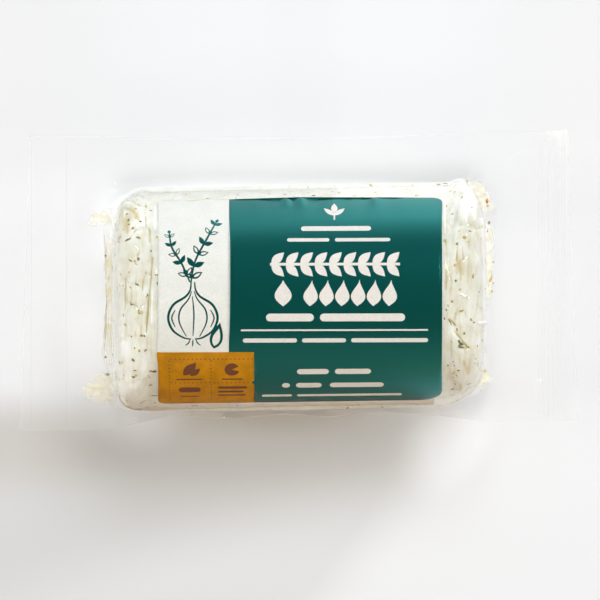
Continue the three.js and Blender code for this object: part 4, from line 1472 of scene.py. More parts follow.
class Herbs:
    """Dried flakes all through the cheese, seen where they lie at its surface under the film."""

    FLAKE_RADIUS = 1.0
    ROUGHEN_MM = 0.1
    ROUGHEN_SCALE_MM = 0.35
    SEEN_THICKNESS = 0.2

    def __init__(self, cheese: bpy.types.Object, lobes: bpy.types.Object, view: View) -> None:
        """Keeps what the flakes lie in and where they are seen from."""
        self.cheese = cheese
        self.view = view
        self.surfaces = [self.tree_of(cheese), self.tree_of(lobes)]

    @staticmethod
    def tree_of(piece: bpy.types.Object) -> BVHTree:
        """A search tree over a piece's faces."""
        mesh = piece.data
        return BVHTree.FromPolygons([v.co for v in mesh.vertices], [p.vertices for p in mesh.polygons])

    def scatter_tree(self) -> tuple[bpy.types.NodeTree, dict[str, str]]:
        """A node tree that scatters flat uneven flakes over a surface.

        Returns:
            The tree, and each input's identifier by its name.
        """
        tree = bpy.data.node_groups.new("scatter_flakes", "GeometryNodeTree")
        tree.interface.new_socket("Geometry", in_out="OUTPUT", socket_type="NodeSocketGeometry")
        wanted = {
            "Surface": "NodeSocketGeometry", "Per Area": "NodeSocketFloat", "Smallest": "NodeSocketVector",
            "Largest": "NodeSocketVector", "Seed": "NodeSocketInt", "Finish": "NodeSocketMaterial",
        }
        names = {}
        for name, kind in wanted.items():
            names[name] = tree.interface.new_socket(name, in_out="INPUT", socket_type=kind).identifier
        given = add_node(tree, "NodeGroupInput").outputs
        bare = add_node(tree, "GeometryNodeInputNamedAttribute", {"Name": "bare"}, data_type="FLOAT")
        density = add_node(tree, "ShaderNodeMath", {0: given["Per Area"], 1: bare.outputs["Attribute"]},
                           operation="MULTIPLY")
        spots = add_node(tree, "GeometryNodeDistributePointsOnFaces", {
            "Mesh": given["Surface"], "Density": density.outputs["Value"], "Seed": given["Seed"]})
        spin = add_node(tree, "FunctionNodeRandomValue", {2: 0.0, 3: 2.0 * math.pi, "Seed": given["Seed"]},
                        data_type="FLOAT")
        about = add_node(tree, "FunctionNodeAxisAngleToRotation", {
            "Axis": (0.0, 0.0, 1.0), "Angle": spin.outputs[1]})
        facing = add_node(tree, "FunctionNodeRotateRotation", {
            "Rotation": spots.outputs["Rotation"], "Rotate By": about.outputs["Rotation"]},
            rotation_space="LOCAL")
        size = add_node(tree, "FunctionNodeRandomValue", {
            0: given["Smallest"], 1: given["Largest"], "Seed": given["Seed"]}, data_type="FLOAT_VECTOR")
        flake = add_node(tree, "GeometryNodeMeshIcoSphere", {"Radius": self.FLAKE_RADIUS * MM, "Subdivisions": 2})
        placed = add_node(tree, "GeometryNodeInstanceOnPoints", {
            "Points": spots.outputs["Points"], "Instance": flake.outputs["Mesh"],
            "Rotation": facing.outputs["Rotation"], "Scale": size.outputs[0]})
        real = add_node(tree, "GeometryNodeRealizeInstances", {"Geometry": placed.outputs["Instances"]})
        bumps = add_node(tree, "ShaderNodeTexNoise", {
            "Vector": add_node(tree, "GeometryNodeInputPosition").outputs[0],
            "Scale": 1.0 / (self.ROUGHEN_SCALE_MM * MM), "Detail": 1.0})
        centred = add_node(tree, "ShaderNodeVectorMath", {
            0: bumps.outputs["Color"], 1: (0.5, 0.5, 0.5)}, operation="SUBTRACT")
        push = add_node(tree, "ShaderNodeVectorMath", {
            0: centred.outputs[0], "Scale": 2.0 * self.ROUGHEN_MM * MM}, operation="SCALE")
        rough = add_node(tree, "GeometryNodeSetPosition", {
            "Geometry": real.outputs[0], "Offset": push.outputs[0]})
        dressed = add_node(tree, "GeometryNodeSetMaterial", {
            "Geometry": rough.outputs[0], "Material": given["Finish"]})
        add_node(tree, "NodeGroupOutput", {0: dressed.outputs[0]})
        return tree, names

    def seen_flakes(self, kind: FlakeKind) -> list[tuple[Matrix, Fleck]]:
        """Where the flakes that the photograph shows lie on the cheese."""
        found = []
        for fleck in kind.seen:
            eye, direction = self.view.sight_line(fleck.column, fleck.row)
            hits = [tree.ray_cast(eye, direction) for tree in self.surfaces]
            hits = [hit for hit in hits if hit[0] is not None]
            if hits:
                place, normal = min(hits, key=lambda hit: hit[3])[:2]
            else:
                place = eye + direction * ((self.view.seam * MM - eye.z) / direction.z)
                normal = Vector((0.0, 0.0, 1.0))
            turn = math.radians(fleck.turn)
            along = Vector((math.cos(turn), math.sin(turn), 0.0))
            along = (along - along.dot(normal) * normal).normalized()
            facing = Matrix((along, normal.cross(along), normal)).transposed().to_4x4()
            found.append((Matrix.Translation(place) @ facing, fleck))
        return found

    def seen_shell(self, kind: FlakeKind) -> tuple[list[Vector], list[tuple[int, ...]]]:
        """The seen flakes as vertices and faces: flat uneven plates of the noted sizes."""
        places = []
        faces = []
        ring = 14
        for place, fleck in self.seen_flakes(kind):
            start = len(places)
            for level, high in ((0.0, 1.0), (0.6, 0.8), (1.0, 0.0), (0.6, -0.8), (0.0, -1.0)):
                for step in range(ring if level else 1):
                    angle = 2.0 * math.pi * step / ring
                    wobble = 1.0 + 0.35 * noise.noise(Vector((
                        1.7 * math.cos(angle) + fleck.column, 1.7 * math.sin(angle) + fleck.row, level)))
                    local = Vector((
                        0.5 * fleck.length * level * wobble * math.cos(angle),
                        0.5 * fleck.width * level * wobble * math.sin(angle),
                        0.5 * self.SEEN_THICKNESS * high))
                    places.append(place @ (local * MM))
            rings = [[start] * ring]
            for number in range(3):
                first = start + 1 + number * ring
                rings.append(list(range(first, first + ring)))
            rings.append([start + 1 + 3 * ring] * ring)
            for inner, outer in zip(rings, rings[1:]):
                for step in range(ring):
                    following = (step + 1) % ring
                    corners = (inner[step], outer[step], outer[following], inner[following])
                    faces.append(tuple(dict.fromkeys(corners)))
        return places, faces

    def build(self) -> list[bpy.types.Object]:
        """One piece for each kind of flake."""
        tree, names = self.scatter_tree()
        pieces = []
        for kind in FLAKE_KINDS:
            material = kind.finish.material()
            piece = bpy.data.objects.new(kind.name, self.cheese.data.copy())
            bpy.context.scene.collection.objects.link(piece)
            modifier = piece.modifiers.new("scatter", "NODES")
            modifier.node_group = tree
            modifier[names["Per Area"]] = kind.per_square_cm * 1.0e4
            modifier[names["Smallest"]] = kind.smallest
            modifier[names["Largest"]] = kind.largest
            modifier[names["Seed"]] = kind.seed
            modifier[names["Finish"]] = material
            scattered = bake(piece)
            places, faces = self.seen_shell(kind)
            base = len(scattered.vertices)
            joined = bpy.data.meshes.new(kind.name)
            joined.from_pydata(
                [v.co for v in scattered.vertices] + places, [],
                [tuple(p.vertices) for p in scattered.polygons]
                + [tuple(base + corner for corner in face) for face in faces])
            joined.materials.append(material)
            joined.shade_smooth()
            piece.data = joined
            pieces.append(piece)
        return pieces


def bake(piece: bpy.types.Object) -> bpy.types.Mesh:
    """Turns a piece with a Geometry Nodes modifier into a plain mesh, and returns the mesh."""
    graph = bpy.context.evaluated_depsgraph_get()
    mesh = bpy.data.meshes.new_from_object(piece.evaluated_get(graph))
    piece.modifiers.clear()
    piece.data = mesh
    return mesh


class SealRibs:
    """The raised lines that the welding bars leave in the flange."""

    RIB_WIDTH = 0.1
    STEP = 1.5
    EDGE_MARGIN = 0.6
    RIGHT_BAND = (49.4, 54.0)
    RIGHT_PITCH = 0.5
    UNEVENNESS = 0.14
    SINGLE_LINES = (-54.4, -47.25, 48.6, 49.4)

    def __init__(self, film: bpy.types.Object, form: PackForm) -> None:
        """Keeps the film that the ribs lie on."""
        self.surface = Herbs.tree_of(film)
        self.form = form

    def paths(self) -> bpy.types.Mesh:
        """The ribs' lines over the flange, as loose edges."""
        low, high = self.RIGHT_BAND
        lines = [*self.SINGLE_LINES, *np.arange(low + self.RIGHT_PITCH, high, self.RIGHT_PITCH)]
        places = []
        edges = []
        for x in lines:
            x = float(x) + self.UNEVENNESS * math.sin(7.0 * x)
            near = self.form.near_edge(x)[1] + self.EDGE_MARGIN
            far = self.form.far_edge(x)[1] - self.EDGE_MARGIN
            previous = None
            for y in np.arange(near, far, self.STEP):
                hit = self.surface.ray_cast(Vector((x * MM, y * MM, 0.1)), Vector((0.0, 0.0, -1.0)))[0]
                if hit is None:
                    previous = None
                    continue
                places.append(hit)
                if previous is not None:
                    edges.append((previous, len(places) - 1))
                previous = len(places) - 1
        mesh = bpy.data.meshes.new("seal_ribs")
        mesh.from_pydata(places, edges, [])
        return mesh

    def sweep_tree(self) -> tuple[bpy.types.NodeTree, dict[str, str]]:
        """A node tree that sweeps a low round rib along edges."""
        tree = bpy.data.node_groups.new("sweep_ribs", "GeometryNodeTree")
        tree.interface.new_socket("Geometry", in_out="OUTPUT", socket_type="NodeSocketGeometry")
        names = {}
        wanted = {"Paths": "NodeSocketGeometry", "Radius": "NodeSocketFloat", "Finish": "NodeSocketMaterial"}
        for name, kind in wanted.items():
            names[name] = tree.interface.new_socket(name, in_out="INPUT", socket_type=kind).identifier
        given = add_node(tree, "NodeGroupInput").outputs
        curves = add_node(tree, "GeometryNodeMeshToCurve", {"Mesh": given["Paths"]})
        profile = add_node(tree, "GeometryNodeCurvePrimitiveCircle", {"Resolution": 6, "Radius": given["Radius"]})
        swept = add_node(tree, "GeometryNodeCurveToMesh", {
            "Curve": curves.outputs[0], "Profile Curve": profile.outputs[0], "Fill Caps": True})
        real = add_node(tree, "GeometryNodeRealizeInstances", {"Geometry": swept.outputs[0]})
        dressed = add_node(tree, "GeometryNodeSetMaterial", {
            "Geometry": real.outputs[0], "Material": given["Finish"]})
        add_node(tree, "NodeGroupOutput", {0: dressed.outputs[0]})
        return tree, names

    def build(self) -> bpy.types.Object:
        """The ribs as one piece, laid on the film."""
        tree, names = self.sweep_tree()
        piece = bpy.data.objects.new("seal_ribs", self.paths())
        bpy.context.scene.collection.objects.link(piece)
        modifier = piece.modifiers.new("sweep", "NODES")
        modifier.node_group = tree
        modifier[names["Radius"]] = 0.5 * self.RIB_WIDTH * MM
        modifier[names["Finish"]] = FILM.material()
        mesh = bake(piece)
        set_attribute(mesh, "haze_and_painted_glint", np.full(len(mesh.vertices), 0.05))
        set_attribute(mesh, "tight", np.full(len(mesh.vertices), 0.0))
        mesh.shade_smooth()
        return piece


@dataclass(frozen=True)
class PrintedShape:
    """One flat shape of the print."""

    ink: Ink
    outline: Outline


class LabelPrint:
    """The label's print: fields of colour, plain bars and simple herb and garlic shapes."""

    FIELD_SPLIT = -13.9
    PANEL_RIGHT = -8.9
    PANEL_TOP = 34.65
    BLEED = 1.0

    def __init__(self, plan: LabelPlan, length: float) -> None:
        """Keeps the label's size.

        Args:
            plan: the label's cut.
            length: its length from the far edge to the near one.
        """
        self.plan = plan
        self.length = length

    def shapes(self) -> list[PrintedShape]:
        """Every printed shape, from the lowest layer to the topmost."""
        plan = self.plan
        field = rounded_bar(plan.left - self.BLEED, self.FIELD_SPLIT, -self.BLEED, self.PANEL_TOP, 0.01)
        panel = rounded_bar(plan.left - self.BLEED, self.PANEL_RIGHT, self.PANEL_TOP, self.length + self.BLEED, 0.01)
        return [
            PrintedShape(Ink.CREAM, field),
            PrintedShape(Ink.OCHRE, panel),
            *self.bars(),
            *self.emblem(),
            *self.title(),
            *self.drawing(),
            *self.panel_marks(),
        ]

    def bars(self) -> list[PrintedShape]:
        """Plain bars where lines of small print would stand, and the rule under the title."""
        rows = (
            (0.45, 14.4, 8.85, 9.95), (-2.3, 6.1, 11.6, 12.35), (7.2, 18.2, 11.6, 12.35),
            (-6.5, 3.0, 26.85, 28.4), (4.2, 21.1, 26.85, 28.4), (-11.5, 25.7, 29.98, 30.32),
            (-11.1, -0.35, 31.8, 32.65), (0.65, 9.4, 31.8, 32.65), (10.4, 25.7, 31.8, 32.65),
            (-0.35, 6.0, 38.55, 39.85), (7.2, 14.4, 38.55, 39.85),
            (-3.35, -1.75, 42.25, 43.65), (-0.55, 4.6, 42.25, 43.65), (6.2, 17.0, 42.25, 43.65),
            (-7.4, -1.35, 46.05, 46.9), (-0.35, 20.7, 46.05, 46.9),
        )
        return [PrintedShape(Ink.WHITE, rounded_bar(*row)) for row in rows]

    def emblem(self) -> list[PrintedShape]:
        """A small three-leaved sprig at the top."""
        x, low, high = 7.1, 7.3, 2.5
        shapes = [stroke([(x, low), (x, low - 1.6), (x, high + 2.6)], 0.34, 0.2)]
        shapes.append(leaf((x, high + 2.9), (x, high), 1.3))
        for side in (-1, 1):
            shapes.append(leaf((x, low - 1.2), (x + side * 2.1, high + 1.5), 1.1))
        return [PrintedShape(Ink.WHITE, shape) for shape in shapes]

    def title(self) -> list[PrintedShape]:
        """Two bold rows: a garland of leaves, and a row of cloves after a ring."""
        shapes = []
        top, bottom = 14.55, 19.6
        middle = 0.5 * (top + bottom)
        left, right = -5.7, 20.1
        shapes.append(stroke([(left, middle), (mix(left, right, 0.5), middle), (right, middle)], 0.55, 0.0))
        pairs = 9
        for index in range(pairs):
            x = mix(left, right, (index + 0.1) / pairs)
            for side in (-1, 1):
                shapes.append(leaf((x, middle), (x + 2.5, middle + side * 2.45), 1.75))
        top, bottom = 20.2, 25.4
        middle = 0.5 * (top + bottom)
        shapes.append(leaf((-3.1, top), (-3.1, bottom), 3.4, 0.6))
        cloves = 6
        left, right = 0.85, 19.7
        for index in range(cloves):
            x = mix(left, right, (index + 0.5) / cloves)
            shapes.append(leaf((x + 0.25, top), (x - 0.25, bottom), 2.9, 0.64))
        return [PrintedShape(Ink.WHITE, shape) for shape in shapes]

    def drawing(self) -> list[PrintedShape]:
        """A pen drawing of a garlic bulb and two sprigs on the pale field."""
        lines = []
        bulb_x, bulb_s = -21.0, 27.0
        half = [(0.35, -6.4), (0.55, -4.8), (1.5, -3.5), (3.9, -1.9), (4.9, 0.6), (4.0, 3.1), (1.9, 4.6), (0.4, 4.9)]
        for side in (-1, 1):
            lines.append((smooth_line([(bulb_x + side * x, bulb_s + s) for x, s in half]), 0.5))
            inner = [(0.25, -4.6), (0.9, -3.0), (2.5, -0.9), (2.7, 1.5), (1.3, 4.4)]
            lines.append((smooth_line([(bulb_x + side * x, bulb_s + s) for x, s in inner]), 0.34))
            shade = [(3.5, -0.9), (4.2, 0.7), (3.5, 2.5)]
            lines.append((smooth_line([(bulb_x + side * x, bulb_s + s) for x, s in shade]), 0.3))
            root = [(0.6, 5.0), (0.9, 5.7), (1.5, 6.2)]
            lines.append((smooth_line([(bulb_x + side * x, bulb_s + s) for x, s in root]), 0.28))
        lines.append((smooth_line([(bulb_x - 0.1, bulb_s - 3.6), (bulb_x + 0.2, bulb_s), (bulb_x, bulb_s + 4.3)]), 0.3))
        lines.append((smooth_line([(bulb_x, bulb_s + 5.0), (bulb_x - 0.1, bulb_s + 6.4)]), 0.28))
        shapes = [PrintedShape(Ink.TEAL, stroke(points, width)) for points, width in lines]
        shapes.append(PrintedShape(Ink.TEAL, leaf((-16.9, 33.9), (-15.6, 28.6), 2.6, 0.4)))
        shapes.append(PrintedShape(Ink.CREAM, leaf((-16.8, 33.3), (-15.8, 29.8), 1.5, 0.4)))
        shapes.extend(self.sprig([(-21.4, 20.8), (-20.6, 16.5), (-18.2, 11.5), (-16.4, 7.6)], 6, 2.5))
        shapes.extend(self.sprig([(-21.6, 20.6), (-23.3, 16.8), (-25.2, 13.6), (-25.8, 10.2)], 5, 2.0))
        return shapes

    @staticmethod
    def sprig(points: list[Point], pairs: int, length: float) -> list[PrintedShape]:
        """A stem with pairs of leaves, the lower ones drawn open and the upper ones filled."""
        stem = smooth_line(points, 10)
        shapes = [PrintedShape(Ink.TEAL, stroke(stem, 0.42, 0.3))]
        for index in range(pairs):
            at = int((index + 0.8) / (pairs + 0.4) * (len(stem) - 1))
            x, s = stem[at]
            ahead = stem[min(at + 3, len(stem) - 1)]
            heading = math.atan2(ahead[1] - s, ahead[0] - x)
            for side in (-1, 1):
                turn = heading + side * math.radians(52.0)
                size = length * (1.0 - 0.4 * index / pairs)
                tip = (x + size * math.cos(turn), s + size * math.sin(turn))
                shapes.append(PrintedShape(Ink.TEAL, leaf((x, s), tip, 0.48 * size)))
                if index % 2 == 0:
                    inner = (x + 0.22 * size * math.cos(turn), s + 0.22 * size * math.sin(turn))
                    inner_tip = (x + 0.82 * size * math.cos(turn), s + 0.82 * size * math.sin(turn))
                    shapes.append(PrintedShape(Ink.CREAM, leaf(inner, inner_tip, 0.22 * size)))
        shapes.append(PrintedShape(Ink.TEAL, leaf(stem[-2], (
            stem[-1][0] + 0.3 * length * math.cos(heading), stem[-1][1] + 0.3 * length * math.sin(heading)), 0.7)))
        return shapes

    def panel_marks(self) -> list[PrintedShape]:
        """Dotted dividers and small brown shapes on the ochre panel."""
        shapes = []
        dot, pitch = 0.16, 0.85
        for s in (36.16, 41.99):
            for x in np.arange(-25.4, self.PANEL_RIGHT - 0.3, pitch):
                shapes.append(PrintedShape(Ink.BROWN, disc(x, s, dot, 6)))
        for x in (-25.8, -17.5):
            for s in np.arange(36.6, 48.2, pitch):
                shapes.append(PrintedShape(Ink.BROWN, disc(x, s, dot, 6)))
        shapes.append(PrintedShape(Ink.TEAL, [(-8.9, 41.4), (-9.5, 41.99), (-8.9, 42.6)]))
        shapes.append(PrintedShape(Ink.BROWN, leaf((-23.0, 40.0), (-20.4, 36.9), 2.0)))
        shapes.append(PrintedShape(Ink.BROWN, leaf((-21.6, 40.1), (-19.6, 38.3), 1.4)))
        shapes.append(PrintedShape(Ink.BROWN, disc(-13.3, 38.6, 1.5)))
        shapes.append(PrintedShape(Ink.OCHRE, [(-13.3, 38.6), (-11.6, 37.7), (-11.6, 39.1)]))
        shapes.append(PrintedShape(Ink.BROWN, rounded_bar(-24.0, -19.6, 43.3, 44.9, 0.7)))
        shapes.append(PrintedShape(Ink.BROWN, rounded_bar(-24.4, -19.2, 40.85, 41.2)))
        shapes.append(PrintedShape(Ink.BROWN, rounded_bar(-15.4, -11.2, 40.85, 41.2)))
        shapes.append(PrintedShape(Ink.BROWN, rounded_bar(-23.7, -19.9, 46.2, 46.6)))
        for number, right in enumerate((-10.3, -11.0, -10.6)):
            low = 43.1 + 1.35 * number
            shapes.append(PrintedShape(Ink.BROWN, rounded_bar(-16.2, right, low, low + 0.75 - 0.1 * number)))
        return shapes


class LabelSheet:
    """The printed label, stuck over the front of the pouch from one side of the log to the other."""

    GRID = 0.8
    FINE_GRID = 0.42
    FINE_REACH = 7.0
    PUCKERS = ((-2.5, 0.42), (0.4, 0.42), (15.4, 0.18))
    PUCKER_HALF_WIDTH = 1.5
    PUCKER_REACH = 4.5
    WAVES = 0.07
    SPARE_ANGLE = 3.0

    def __init__(self, form: PackForm, plan: LabelPlan) -> None:
        """Works out how the flat label wraps round the log."""
        self.form = form
        self.plan = plan
        angles = np.linspace(plan.far_angle - self.SPARE_ANGLE, plan.near_angle + self.SPARE_ANGLE, plan.table_steps)
        y, z, normal_y, normal_z = form.front_section(angles)
        self.table = np.stack([y, z, normal_y, normal_z])
        run = np.concatenate([[0.0], np.cumsum(np.hypot(np.diff(y), np.diff(z)))])
        first, last = np.interp([plan.far_angle, plan.near_angle], angles, run)
        self.run = run - first
        self.length = float(last - first)

    def lift(self, x: np.ndarray, s: np.ndarray) -> np.ndarray:
        """How far the label stands off its smooth wrap: puckers at its far edge, and slight waves."""
        ridges = sum(height * hump((x - place) / self.PUCKER_HALF_WIDTH) for place, height in self.PUCKERS)
        puckers = ridges * hump(s / self.PUCKER_REACH)
        far = hump(s / 9.0)
        near = hump((self.length - s) / 5.0)
        waves = np.sin(0.62 * x + 0.8) * np.sin(0.23 * x + 2.0) + 0.4 * np.sin(1.3 * x)
        return puckers + self.WAVES * waves * (far + 0.5 * near)

    def wrap(self, flat: np.ndarray, offset: float) -> np.ndarray:
        """Places of flat points on the log, at a height above the film."""
        x, s = flat.T
        on_log = s - self.plan.turn * x
        y, z, normal_y, normal_z = (np.interp(on_log, self.run, row) for row in self.table)
        high = offset + self.lift(x, s)
        return np.stack([
            x, self.form.axis_y(x) + y + high * normal_y, self.form.seam + z + high * normal_z], axis=-1)

    def grid(self) -> np.ndarray:
        """Points inside the label that keep its triangles small enough to bend."""
        def lattice(low: float, high: float, pitch: float) -> np.ndarray:
            """A staggered lattice between two places down the label."""
            rows = np.arange(low, high, pitch)
            points = []
            for number, s in enumerate(rows):
                first = self.plan.left + pitch * (0.31 + 0.5 * (number % 2))
                points.extend((x, s) for x in np.arange(first, self.plan.right - 0.3 * pitch, pitch))
            return np.array(points)
        fine = lattice(0.19, self.FINE_REACH, self.FINE_GRID)
        coarse = lattice(self.FINE_REACH + 0.13, self.length - 0.2, self.GRID)
        return np.concatenate([fine, coarse])

    def flat_mesh(self) -> tuple[np.ndarray, list[tuple[int, int, int]], list[Ink]]:
        """The flat label cut along every printed edge.

        Returns:
            Its points, its triangles and each triangle's ink.
        """
        plan = self.plan
        radii = (plan.near_right_corner, plan.corner, plan.corner, plan.corner)
        outline = cut_corners(plan.left, plan.right, plan.far_trim, self.length, radii)
        shapes = [PrintedShape(Ink.TEAL, outline), *LabelPrint(plan, self.length).shapes()]
        points = []
        loops = []
        for shape in shapes:
            loops.append(list(range(len(points), len(points) + len(shape.outline))))
            points.extend(counter_clockwise(shape.outline))
        for x, s in self.grid():
            points.append((x, s))
        found = delaunay_2d_cdt([Vector(point) for point in points], [], loops, 1, 1.0e-4)
        flat = np.array([(v.x, v.y) for v in found[0]])
        triangles = []
        inks = []
        for triangle, sources in zip(found[2], found[5]):
            if 0 not in sources:
                continue
            a, b, c = (flat[index] for index in triangle)
            turn = (b[0] - a[0]) * (c[1] - a[1]) - (b[1] - a[1]) * (c[0] - a[0])
            triangles.append(tuple(triangle) if turn < 0.0 else tuple(reversed(triangle)))
            inks.append(shapes[max(sources)].ink)
        return flat, triangles, inks

    def build(self) -> bpy.types.Object:
        """The label as a thin closed sheet, with one material slot for each ink."""
        flat, triangles, inks = self.flat_mesh()
        used = sorted({index for triangle in triangles for index in triangle})
        number = {index: place for place, index in enumerate(used)}
        flat = flat[used]
        triangles = [tuple(number[index] for index in triangle) for triangle in triangles]
        top = self.wrap(flat, self.plan.gap + self.plan.thickness)
        under = self.wrap(flat, self.plan.gap)
        count = len(flat)
        edges = {}
        for triangle in triangles:
            for a, b in zip(triangle, (*triangle[1:], triangle[0])):
                edges[(a, b)] = True
        rim = [(a, b) for a, b in edges if (b, a) not in edges]
        faces = [
            *triangles,
            *(tuple(count + index for index in reversed(triangle)) for triangle in triangles),
            *((b, a, count + a, count + b) for a, b in rim),
        ]
        mesh = bpy.data.meshes.new("label_sheet")
        mesh.from_pydata((np.concatenate([top, under]) * MM).tolist(), [], faces)
        slots = list(Ink)
        paper = slots.index(Ink.PAPER)
        numbers = [slots.index(ink) for ink in inks] + [paper] * (len(faces) - len(inks))
        mesh.polygons.foreach_set("material_index", numbers)
        piece = make_object("label_sheet", mesh, [ink.value.material() for ink in slots])
        flat_sides = np.ones(len(faces), bool)
        flat_sides[2 * len(triangles):] = False
        mesh.polygons.foreach_set("use_smooth", flat_sides)
        return piece


@dataclass(frozen=True)
class Lamp:
    """A soft box over the table, aimed at the pack. A polarised one leaves no glare on what is glossy."""

    name: str
    azimuth: float
    elevation: float
    distance: float
    width: float
    height: float
    watts: float
    colour: str = "#FFFFFF"
    polarised: bool = False

    def build(self) -> bpy.types.Object:
        """The lamp, at its azimuth from +X towards +Y."""
        data = bpy.data.lights.new(self.name, "AREA")
        data.shape = "RECTANGLE"
        data.size = self.width
        data.size_y = self.height
        data.energy = self.watts
        data.color = linear(self.colour)[:3]
        lamp = bpy.data.objects.new(self.name, data)
        turn = math.radians(self.azimuth)
        rise = math.radians(self.elevation)
        direction = Vector((
            math.cos(turn) * math.cos(rise), math.sin(turn) * math.cos(rise), math.sin(rise)))
        lamp.location = direction * self.distance
        lamp.rotation_euler = direction.to_track_quat("Z", "Y").to_euler()
        lamp.visible_glossy = not self.polarised
        bpy.context.scene.collection.objects.link(lamp)
        return lamp


@dataclass(frozen=True)
class Pool:
    """A soft-edged oval painted on the table: a pool of painted light where its strength is positive, of painted shade
    where negative, or the pack's painted warm shadow.
    """

    middle: Point
    reach: Point
    turn: float
    strength: float
    square: bool = False

    def share(self, tree: bpy.types.NodeTree, place: bpy.types.NodeSocket) -> bpy.types.NodeSocket:
        """How much of the pool lies at a place.

        Args:
            tree: the table's node tree.
            place: the socket of the place.

        Returns:
            A socket that is the strength in the middle and 0 outside.
        """
        oval = add_node(tree, "ShaderNodeMapping", {
            "Vector": place, "Location": (self.middle[0] * MM, self.middle[1] * MM, 0.0),
            "Rotation": (0.0, 0.0, math.radians(self.turn)),
            "Scale": (self.reach[0] * MM, self.reach[1] * MM, 1.0)}, vector_type="TEXTURE")
        offset = oval.outputs["Vector"]
        if self.square:
            offset = add_node(tree, "ShaderNodeVectorMath", {0: offset, 1: offset}, operation="MULTIPLY").outputs[0]
        away = add_node(tree, "ShaderNodeVectorMath", {0: offset}, operation="LENGTH")
        falling = add_node(tree, "ShaderNodeMapRange", {
            "Value": away.outputs["Value"], "From Min": 0.2, "From Max": 1.0, "To Min": self.strength,
            "To Max": 0.0}, interpolation_type="SMOOTHSTEP")
        return falling.outputs[0]


@dataclass(frozen=True)
class Card:
    """A glowing card beside the pack, lit by nothing but its own emission, which only shows in what reflects it."""

    name: str
    profile: tuple[Point, ...]
    left: float
    right: float
    glow: tuple[float, float, float]

    def build(self) -> bpy.types.Object:
        """The card, bent along its profile of places across the table and heights, in millimetres."""
        places = [(x * MM, y * MM, z * MM) for y, z in self.profile for x in (self.left, self.right)]
        faces = [(2 * step, 2 * step + 1, 2 * step + 3, 2 * step + 2) for step in range(len(self.profile) - 1)]
        mesh = bpy.data.meshes.new(self.name)
        mesh.from_pydata(places, [], faces)
        material, tree = new_material(self.name)
        light = add_node(tree, "ShaderNodeEmission", {"Color": (*self.glow, 1.0)})
        add_node(tree, "ShaderNodeOutputMaterial", {"Surface": light.outputs[0]})
        card = make_object(self.name, mesh, [material])
        card.visible_camera = False
        card.visible_diffuse = False
        card.visible_transmission = False
        card.visible_shadow = False
        return card


